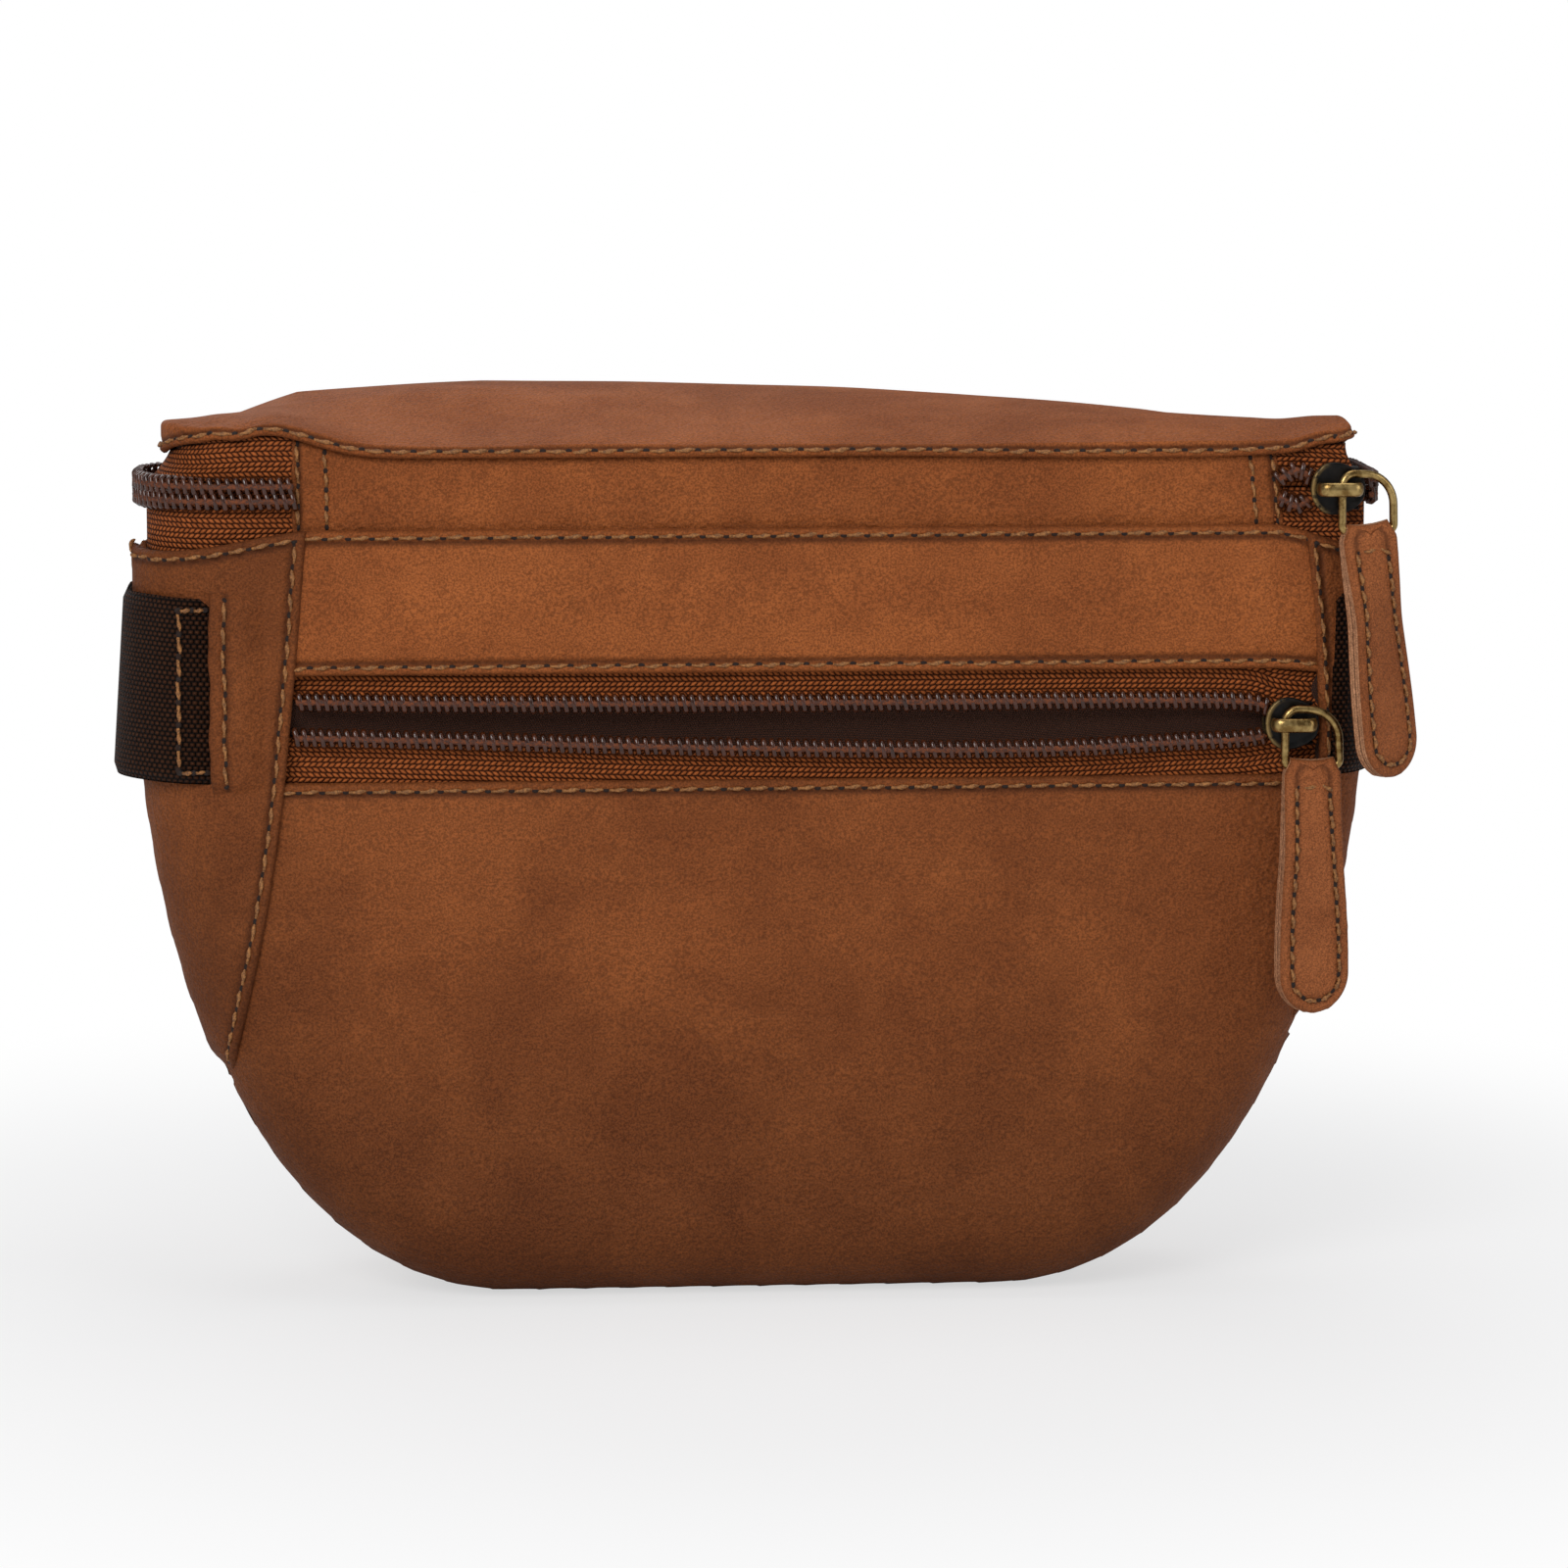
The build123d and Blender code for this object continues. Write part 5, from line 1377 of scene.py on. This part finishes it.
def buildTab(name, x, z, lean, twist):
    # two layers of leather folded over the bar, sewn round
    barX, barZ, y = x + puller["ringWide"] / 2, z - puller["ringBar"], puller["ringY"]
    length, topHalf, footHalf, thick = 52.0, 5.4, 7.9, 3.5
    cap = 1.9
    count = 70
    side = []
    straight = length - footHalf
    for s in np.linspace(0, 1, 46):
        d = straight * s
        half = (4.45 + (topHalf + 0.45 - 4.45) * smooth((d - 0.2) / 3.4) + (footHalf - topHalf - 0.45)
                * smooth((d - 3) / (straight - 6)))
        side.append((half, -d))
    for a in np.linspace(0.06, math.pi / 2, 24):
        side.append((footHalf * math.cos(a), -straight - footHalf * math.sin(a)))
    side = evenPoints(np.array(side), count)
    dip = 0.55
    top = [(h, -dip * (1 - (h / 4.45) ** 2)) for h in np.linspace(0.0, 4.45, 9)[:-1]]
    halfLine = np.vstack([top, side])
    n = len(halfLine)
    left = halfLine[::-1] * np.array([-1, 1])
    ring = np.vstack([halfLine, left[1:-1]])
    spineRight = np.column_stack([np.zeros(n), np.clip(halfLine[:, 1], -(length - 5.5), -2.5)])
    spine = np.vstack([spineRight, spineRight[::-1][1:-1]])
    total = len(ring)
    levels = [0.0, 0.04, 0.12, 0.22, 0.30, 0.37, 0.44, 0.55, 0.75, 1.0]
    halfThick = thick / 2

    def layer(sign):
        rings, attrs, edges = [], [], []
        for inward in levels:
            p = ring * (1 - inward) + spine * inward
            depthIn = np.linalg.norm(p - ring, axis=1)
            rounding = 0.5 * np.sqrt(np.clip(1 - (1 - np.clip(depthIn / 0.7, 0, 1)) ** 2, 0, 1))
            groove = -0.32 * np.exp(-((depthIn - 2.5) / 0.5) ** 2)
            puff = 0.25 * smooth(depthIn / 5) + groove
            rings.append(np.column_stack([p[:, 0], sign * (halfThick - 0.5 + rounding + puff), p[:, 1]]))
            attrs.append(np.exp(-depthIn / 0.5))
            # painted shade along the stitch groove
            edges.append(np.exp(-((depthIn - 2.5) / 0.6) ** 2))
        return rings, attrs, edges

    frontRings, nearEdgeF, grooveShadeF = layer(-1)
    backRings, nearEdgeB, grooveShadeB = layer(1)

    def shaped(p):
        p = np.array(p, float)
        down = -p[:, 2]
        # the fold over the bar is round
        near = np.clip(1 - down / 1.8, 0, 1)
        p[:, 1] *= np.sqrt(np.clip(1 - near ** 2, 0.05, 1))
        angle = math.radians(twist) * smooth((down - 2.0) / 20)
        px, py = p[:, 0].copy(), p[:, 1].copy()
        p[:, 0] = px * np.cos(angle) - py * np.sin(angle)
        p[:, 1] = px * np.sin(angle) + py * np.cos(angle)
        p[:, 1] += 0.4 * np.sin(smooth(down / length) * math.pi) - 3.0 * np.clip(down / length, 0, 1)
        leaning = math.radians(lean)
        zz = p[:, 2] + cap
        qx = p[:, 0] * math.cos(leaning) - zz * math.sin(leaning)
        qz = p[:, 0] * math.sin(leaning) + zz * math.cos(leaning)
        return np.column_stack([barX + qx, y + p[:, 1], barZ + qz])

    fronts = [shaped(r) for r in frontRings]
    backs = [shaped(r) for r in backRings]
    faceSets = []
    for rings, nearEdges, grooveShades, key in ((fronts, nearEdgeF, grooveShadeF, "Front"), (backs, nearEdgeB, grooveShadeB, "Back")):
        verts = np.vstack(rings)
        faces = gridFaces(len(rings), total, wrapV=True)
        ones = np.ones(len(verts))
        attributes = {"nearEdge": np.concatenate(nearEdges), "grooveShade": np.concatenate(grooveShades), "toneAndPaintedLight": ones}
        faceSets.append(meshPiece(name + key, verts, faces, tabLeather, attributes))
    # the raw edge all round, with a groove between the layers; the groove rows carry painted shade, the
    # other shade values are the fibre layers
    rows = []
    layers = ((-1, 0.0, 0.75), (-0.86, -0.06, 1.3), (-0.66, -0.05, 1.15), (-0.56, 0.03, 0.6),
              (-0.46, -0.03, 1.3), (-0.14, -0.02, 1.2),
              (-0.05, 0.2, 0.25), (0.05, 0.2, 0.25), (0.14, -0.02, 1.2), (0.46, -0.03, 1.3),
              (0.56, 0.03, 0.6), (0.66, -0.05, 1.15),
              (0.86, -0.06, 1.3), (1, 0.0, 0.75))
    shades = []
    for s, inset, shade in layers:
        p = np.column_stack([ring[:, 0], np.full(total, s * (halfThick - 0.5)), ring[:, 1]])
        centre = np.column_stack([spine[:, 0], p[:, 1], spine[:, 1]])
        d = centre - p
        d = d / np.linalg.norm(d, axis=1, keepdims=True)
        rough = rng.normal(0, 0.05, total)[:, None]
        shades.append(shade * (1 + rng.normal(0, 0.1, total)))
        rows.append(shaped(p + d * (inset + (rough if abs(s) < 1 else 0))))
    verts = np.vstack(rows)
    ones = np.ones(len(verts))
    edge = meshPiece(name + "Edge", verts, gridFaces(len(rows), total, wrapV=True), rawEdge,
                     {"nearEdge": ones * 0, "grooveShade": ones * 0, "toneAndPaintedLight": np.concatenate(shades)})
    whole = joined(name, faceSets + [edge])
    work = bmesh.new()
    work.from_mesh(whole.data)
    bmesh.ops.remove_doubles(work, verts=work.verts, dist=5e-6)
    bmesh.ops.recalc_face_normals(work, faces=work.faces)
    work.to_mesh(whole.data)
    work.free()
    whole.data.shade_smooth()
    # the stitch loop: a row across the top and down both sides
    inner = [(h, -5.9) for h in np.linspace(-2.6, 2.6, 12)]
    down = np.linspace(5.9, straight, 40)
    widths = np.interp(down, -side[:46, 1][np.argsort(-side[:46, 1])],
                       side[:46, 0][np.argsort(-side[:46, 1])])
    rightSide = np.column_stack([np.maximum(widths - 2.5, 2.6), -down])
    foot = np.array([((footHalf - 2.5) * math.cos(a), -straight - (footHalf - 2.5) * math.sin(a))
                     for a in np.linspace(0.1, math.pi - 0.1, 30)])
    loop = np.vstack([inner, rightSide[1:], foot, (rightSide[1:] * np.array([-1, 1]))[::-1], inner[:1]])
    for sign in (-1, 1):
        flatLoop = atRuns(loop, np.linspace(0, runOf(loop)[-1], 230))
        lift = sign * (halfThick - 0.05)
        p = shaped(np.column_stack([flatLoop[:, 0], np.full(230, lift), flatLoop[:, 1]]))
        q = shaped(np.column_stack([flatLoop[:, 0], np.full(230, lift + sign), flatLoop[:, 1]]))
        spec = pullers[name[:-3].lower()]
        p, q = turnedAbout(p, spec), turnedAbout(q, spec)
        ups = q - p
        stitchRows.append((p, ups / np.linalg.norm(ups, axis=1, keepdims=True), 3.7,
                           name[:-3].lower() + "_tab"))
    return whole


pullers = {
    "pocket": {"x": 108.7, "z": 119.0, "leg": 106.8, "lean": 0.0, "twist": 17.0, "turn": 3.0, "out": 0.1},
    "main": {"x": 117.5, "z": 166.9, "leg": 117.8, "lean": 5.0, "twist": 26.0, "turn": 13.0, "out": 0.5},
}


def turnedAbout(points, spec):
    # ring and tab hang a little turned about the ring's leg
    a = math.radians(spec["turn"])
    x, y = points[:, 0] - spec["leg"], points[:, 1] - puller["ringY"]
    out = points.copy()
    out[:, 0] = spec["leg"] + x * math.cos(a) - y * math.sin(a)
    out[:, 1] = puller["ringY"] - spec["out"] + x * math.sin(a) + y * math.cos(a)
    return out


def turnPiece(piece, spec):
    points = np.empty(len(piece.data.vertices) * 3)
    piece.data.vertices.foreach_get("co", points)
    points = turnedAbout(points.reshape(-1, 3) / mm, spec) * mm
    piece.data.vertices.foreach_set("co", points.ravel())
    piece.data.update()


for key, spec in pullers.items():
    for part, make in (
        ("slider", lambda n: buildSlider(n, spec["x"], spec["z"])),
        ("ring", lambda n: buildRing(n, spec["leg"], spec["z"])),
        ("tab", lambda n: buildTab(n, spec["leg"], spec["z"], spec["lean"], spec["twist"])),
    ):
        piece = make(key + part.capitalize())
        if part != "slider":
            turnPiece(piece, spec)
        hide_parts(f"{key}_{part}")
        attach(piece, f"{key}_{part}")

print("webbing")
belt = {"z": 127.0, "high": 38.0, "thick": 1.5, "far": 235.0, "gap": 0.3, "fold": 1.6, "foldDeg": 22.5,
        "buckleY": 47.3,
        "barX": 34.0, "barTurn": 2.9, "barRun": 8.0, "sewnOver": 26.0, "bend": 12.0, "startDeg": 28.98}


def polar(radius, deg):
    a = math.radians(deg)
    return np.array([radius * math.sin(a), pack["farCentre"] + radius * math.cos(a)])


def arcCorner(radius, a, b):
    return polar(radius / math.cos(math.radians(a - b) / 2), (a + b) / 2)


def turnCorners(radius, deg, way):
    a = math.radians(deg)
    along = np.array([way * math.cos(a), -way * math.sin(a)])
    out = np.array([math.sin(a), math.cos(a)])
    first = polar(radius, deg) + along * belt["fold"]
    return [first, first + out * belt["fold"] * 2]


def strapEnd(side, clear):
    inner, outer = belt["buckleY"] - belt["barTurn"], belt["buckleY"] + belt["barTurn"]
    x0 = belt["barX"] + belt["barRun"]
    distance = math.hypot(x0, inner - pack["farCentre"])
    lean = math.degrees(math.atan2(x0, inner - pack["farCentre"]) + math.acos(clear / distance))
    slope = math.tan(math.radians(lean))
    back = (belt["sewnOver"] - belt["barRun"]) * slope
    beside = (belt["thick"] + 0.3) / math.cos(math.radians(lean))
    turn = belt["barX"] - belt["barTurn"]
    points = [(side * x0, inner), (side * turn, inner), (side * turn, outer),
              (side * (belt["barX"] + belt["barRun"] / 2), outer),
              (side * (belt["barX"] + belt["sewnOver"]), inner - back + beside)]
    return points, [belt["bend"], belt["barTurn"] - 0.02, belt["barTurn"] - 0.02, belt["bend"]], lean, slope


def webbingPiece(name, plan, node, raggedStart=False):
    count = int(runOf(plan)[-1] / 1.1)
    plan = evenPoints(plan, count)
    vs = np.linspace(0, 1, 20)
    high, z = belt["high"] - 0.4, belt["z"]
    grid = np.stack([raised(plan, z - high / 2 + high * v) for v in vs], axis=1)
    along = runOf(plan)
    droop = np.zeros(count)
    if raggedStart:
        droop = 1.6 * smooth((along - 4) / 22) * smooth((60 - along) / 20)
        grid[..., 2] += droop[:, None] * 0.4
        grid[..., 0] += 1.3 * (grid[..., 2] - z) / 19 * smooth((-grid[..., 0] - 112) / 14)
    piece, *_ = sheetPiece(name, grid, webCloth, folds=["v0", "v1"], thick=belt["thick"],
                              groove=1.0, puff=0.0, depth=0.0,
                              centre=(0, 0, 127))
    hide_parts(node)
    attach(piece, "pack")


def buildBelt():
    run = pack["farRadius"] + belt["gap"] + belt["thick"] / 2
    step = belt["fold"] * 2
    anchor = -31.65
    ends, bends, lean, slope = strapEnd(-1, run + step + belt["thick"] + belt["gap"])
    lx = pack["halfWidth"] + 3.5 + belt["thick"] / 2
    route = ([(-102.0, anchor), (-lx, anchor),
              (-lx, ends[0][1] - (lx - belt["barX"] - belt["barRun"]) * slope)] + ends)
    plan = filletRoute(route, [16.0, 12.0] + bends)
    near = plan[:, 1] < -6
    plan = atRuns(plan, np.linspace(0, runOf(plan)[-1], 900))
    push = 3.1 * smooth((plan[:, 0] + 131) / 16) * (plan[:, 1] < -14)
    plan[:, 1] -= push
    webbingPiece("beltLeft", plan, "belt_left", raggedStart=True)
    ends, bends, lean, slope = strapEnd(1, run + 2 * step)
    rx = pack["halfWidth"] + belt["gap"] + belt["thick"] / 2
    tip = polar(run, belt["startDeg"])
    middle, outer, deg = run + step, run + 2 * step, belt["foldDeg"]
    route = [(117.0, anchor), (rx, anchor),
             (rx, tip[1] - (rx - tip[0]) * math.tan(math.radians(belt["startDeg"]))),
             arcCorner(run, belt["startDeg"], -deg), *turnCorners(run, -deg, -1),
             arcCorner(middle, deg, -deg),
             *turnCorners(middle, deg, 1), arcCorner(outer, deg, lean)] + ends
    turn = belt["fold"] - 0.02
    plan = filletRoute(route, [9.0, 13.05, run, turn, turn, middle, turn, turn, outer] + bends)
    plan = atRuns(plan, np.linspace(0, runOf(plan)[-1], 1500))
    push = 2.2 * smooth((126.2 - plan[:, 0]) / 7) * (plan[:, 1] < -20)
    plan[:, 1] -= push
    webbingPiece("beltRight", plan, "belt_right")


buildBelt()


def buildSlit():
    # the wing's leather passes over the webbing's end, with a wavy raw edge
    x0, x1, z0, z1 = -110.8, -97.5, 104.5, 149.5
    us = np.concatenate([[0, 0.01, 0.03, 0.06, 0.1, 0.15], np.linspace(0.2, 1, 16)])
    vs = np.concatenate([np.linspace(0, 0.14, 9), np.linspace(0.17, 0.83, 24), np.linspace(0.86, 1, 9)])
    x = x0 + (x1 - x0) * us[:, None] + 0 * vs[None]
    z = z0 + (z1 - z0) * vs[None] + 0 * us[:, None]
    wavy = 0.16 * np.sin(z * 0.36) + 0.12 * np.sin(z * 0.83 + 1)
    x = x + wavy * (1 - us[:, None]) ** 2
    over = smooth((z - 105.5) / 4) * smooth((148.5 - z) / 4) * smooth((-98.0 - x) / 7)
    y = nearSurface(x, z) - seams["wingLift"]["left"]
    y = y * (1 - over) + np.minimum(y, -37.0) * over + 0.45 * (1 - over) - 0.1
    grid = np.stack([x, y, z], axis=-1)
    # painted shade: darkened like the left wing
    toneAndPaintedLight = toneOver(grid, 9) * 0.80
    piece, *rest = sheetPiece("slitEdge", grid, shellLeather, folds=["u0"], thick=1.3,
                              toneAndPaintedLight=toneAndPaintedLight, centre=(0, 90, 127),
                              groove=3.4, puff=0.0)
    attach(piece, "pack")
    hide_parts("wing_left")
    outer, normals, runs = rest
    addRow(outer, normals, runs, "u0", 3.4, pitch=4.6, trim=(4.5, 4.5))


buildSlit()

# sewing across the webbing's end
for x, z0, z1 in ((-116.6, 111.5, 143.6),):
    count = 80
    z = np.linspace(z1, z0, count)
    xs = x - 0.6 * np.linspace(0, 1, count)
    ys = np.interp(xs, leftPlan[::-1][:, 0], leftPlan[::-1][:, 1]) if False else np.full(count, -35.55)
    stitchRows.append((np.column_stack([xs, ys, z]), np.tile([0.05, -1.0, 0.0], (count, 1)), 4.6, "pack"))

for z in (143.8, 110.9):
    xs = np.linspace(-116.8, -111.4, 12)
    stitchRows.append((np.column_stack([xs, np.full(12, -35.55), np.full(12, z)]),
                       np.tile([0.0, -1.0, 0.0], (12, 1)), 2.7, "pack"))

print("stitches", len(stitchRows))


def stitchShape():
    # a short length of two-ply thread that dips at both ends
    count = 11
    s = np.linspace(-1, 1, count)
    path = np.column_stack([s * 1.85, np.zeros(count), 0.30 - 0.62 * np.abs(s) ** 2.6])
    taper = np.sqrt(np.clip(1 - np.abs(s) ** 5 * 0.75, 0.1, 1))
    return sweptVerts(path, 0.50 * taper, 0.31 * taper, 6, twist=math.pi * 1.6)


def holeShape():
    # a small dark disc at each stitch hole: painted shade in the hole
    angles = np.linspace(0, math.tau, 8, endpoint=False)
    rim = np.column_stack([np.cos(angles) * 0.8, np.sin(angles) * 0.58, np.full(8, -0.12)])
    top = np.column_stack([np.cos(angles) * 0.6, np.sin(angles) * 0.42, np.full(8, 0.07)])
    faces = ([(k, (k + 1) % 8, 8 + (k + 1) % 8, 8 + k) for k in range(8)]
             + [tuple(8 + k for k in range(8)), tuple(range(8))[::-1]])
    return np.vstack([rim, top]), faces


stitchSpots, holeSpots = {}, {}
for line, ups, pitch, bodyName in stitchRows:
    run = runOf(line)
    count = max(int(round(run[-1] / pitch)), 1)
    step = run[-1] / count
    both = np.column_stack([line, ups])
    middles = (np.arange(count) + 0.5) * step
    at = sampled(both, run, middles)
    ahead, back = sampled(line, run, middles + 0.8), sampled(line, run, middles - 0.8)
    ends = sampled(both, run, np.arange(count + 1) * step)
    for k in range(count):
        along = Vector(ahead[k] - back[k]).normalized()
        up = Vector(at[k, 3:])
        up = (up - along * up.dot(along)).normalized()
        side = up.cross(along)
        slant = math.radians(rng.normal(5, 2.5))
        along, side = (along * math.cos(slant) + side * math.sin(slant),
                       side * math.cos(slant) - along * math.sin(slant))
        axes = Matrix((along, side, up)).transposed()
        place = at[k, :3] + np.array(side) * rng.normal(0, 0.06)
        size = (step / 4.75 * rng.uniform(0.96, 1.05), rng.uniform(0.92, 1.08), 1.0)
        stitchSpots.setdefault(bodyName, []).append((place, axes, size))
    for k in range(count + 1):
        along = Vector(ahead[min(k, count - 1)] - back[min(k, count - 1)]).normalized()
        up = Vector(ends[k, 3:])
        up = (up - along * up.dot(along)).normalized()
        axes = Matrix((along, up.cross(along), up)).transposed()
        holeSpots.setdefault(bodyName, []).append((ends[k, :3], axes, (1.0, 1.0, 1.0)))

stitchMesh, holeMesh = bareMesh("stitch", *stitchShape()), bareMesh("hole", *holeShape())
for bodyName in stitchSpots:
    for label, spots, shape, paint in (("stitches_", stitchSpots, stitchMesh, thread),
                                       ("holes_", holeSpots, holeMesh, paintedHoleShade)):
        piece = repeatOn(label + bodyName, spots[bodyName], shape, paint)
        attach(piece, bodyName)

for key in ("buckle_socket", "buckle_plug", "prong_upper", "prong_lower", "belt_keeper"):
    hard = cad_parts[key]
    hard.data.materials.clear()
    hard.data.materials.append(plastic)
    soften = hard.modifiers.new("soften", "BEVEL")
    soften.width, soften.segments, soften.limit_method, soften.angle_limit = (0.0006, 3, "ANGLE",
                                                                              math.radians(40))

def areaLight(name, place, aim, size, power, tint=(1, 1, 1)):
    light = bpy.data.lights.new(name, "AREA")
    light.shape, light.size, light.size_y = "RECTANGLE", *size
    light.energy, light.color = power, tint
    holder = bpy.data.objects.new(name, light)
    bpy.context.scene.collection.objects.link(holder)
    holder.location = place
    holder.rotation_euler = (Vector(aim) - Vector(place)).to_track_quat("-Z", "Y").to_euler()


studio = {"key": 20.0, "side": 5.0, "top": 6.5, "back": 6.0, "ambient": 0.26}
areaLight("keyLight", (-0.75, -1.55, 1.15), (0, 0, 0.1), (1.1, 0.9), studio["key"])
areaLight("sideLight", (1.6, -0.9, 0.7), (0, 0, 0.09), (0.8, 1.0), studio["side"])
areaLight("topLight", (0.1, 0.1, 1.6), (0, 0, 0.1), (1.2, 1.0), studio["top"])
areaLight("backLight", (-0.6, 1.7, 0.9), (0, 0, 0.1), (1.4, 1.0), studio["back"])

world = bpy.data.worlds.new("studio")
bpy.context.scene.world = world
world.use_nodes = True
sky = world.node_tree
background = sky.nodes["Background"]
background.inputs["Color"].default_value = (0.93, 0.95, 1.0, 1)
background.inputs["Strength"].default_value = studio["ambient"]
white = node(sky, "ShaderNodeBackground", {"Color": (1, 1, 1, 1), "Strength": 1.0})
eye = node(sky, "ShaderNodeLightPath").outputs["Is Camera Ray"]
choose = node(sky, "ShaderNodeMixShader", {0: eye, 1: background.outputs[0], 2: white.outputs[0]})
sky.links.new(choose.outputs[0], sky.nodes["World Output"].inputs["Surface"])

floorMaterial, floorTree, floorShader = newMaterial("paleFloor")
floorShader.inputs["Base Color"].default_value = (0.86, 0.86, 0.86, 1)
floorShader.inputs["Roughness"].default_value = 0.9
floorShader.inputs["Specular IOR Level"].default_value = 0.1
glow = node(floorTree, "ShaderNodeEmission", {"Color": (1, 1, 1, 1), "Strength": 1.0})
seen = node(floorTree, "ShaderNodeLightPath").outputs["Is Camera Ray"]
spread = node(floorTree, "ShaderNodeVectorMath",
              {0: node(floorTree, "ShaderNodeTexCoord").outputs["Object"]}, operation="LENGTH")
bright = ranged(floorTree, spread.outputs["Value"], 0.12, 0.34, 0.62, 1.0)
blendIn = node(floorTree, "ShaderNodeMixShader",
               {0: mathNode(floorTree, "MULTIPLY", seen, bright), 1: floorShader.outputs[0],
                2: glow.outputs[0]})
floorTree.links.new(blendIn.outputs[0], floorTree.nodes["Material Output"].inputs["Surface"])
floorMesh = bpy.data.meshes.new("floor")
floorMesh.from_pydata([(-6, -4, 0), (6, -4, 0), (6, 9, 0), (-6, 9, 0)], [], [(0, 1, 2, 3)])
floorMesh.materials.append(floorMaterial)
floorPiece = bpy.data.objects.new("floor", floorMesh)
floorPiece.location.z = -0.0004
bpy.context.scene.collection.objects.link(floorPiece)

lens = {"azimuth": -4.0, "elevation": 8.0, "distance": 1.2, "aim": (0.005, -0.034, 0.1073), "field": 0.3181}
camera = bpy.data.objects.new("camera", bpy.data.cameras.new("camera"))
bpy.context.scene.collection.objects.link(camera)
bpy.context.scene.camera = camera
az, el = math.radians(lens["azimuth"]), math.radians(lens["elevation"])
toward = Vector((math.sin(az) * math.cos(el), -math.cos(az) * math.cos(el), math.sin(el)))
camera.location = Vector(lens["aim"]) + toward * lens["distance"]
camera.rotation_euler = (-toward).to_track_quat("-Z", "Y").to_euler()
camera.data.sensor_width = 36
camera.data.lens = 36 * lens["distance"] / lens["field"]
camera.data.clip_start = 0.05
bpy.context.scene.view_settings.view_transform = "Standard"
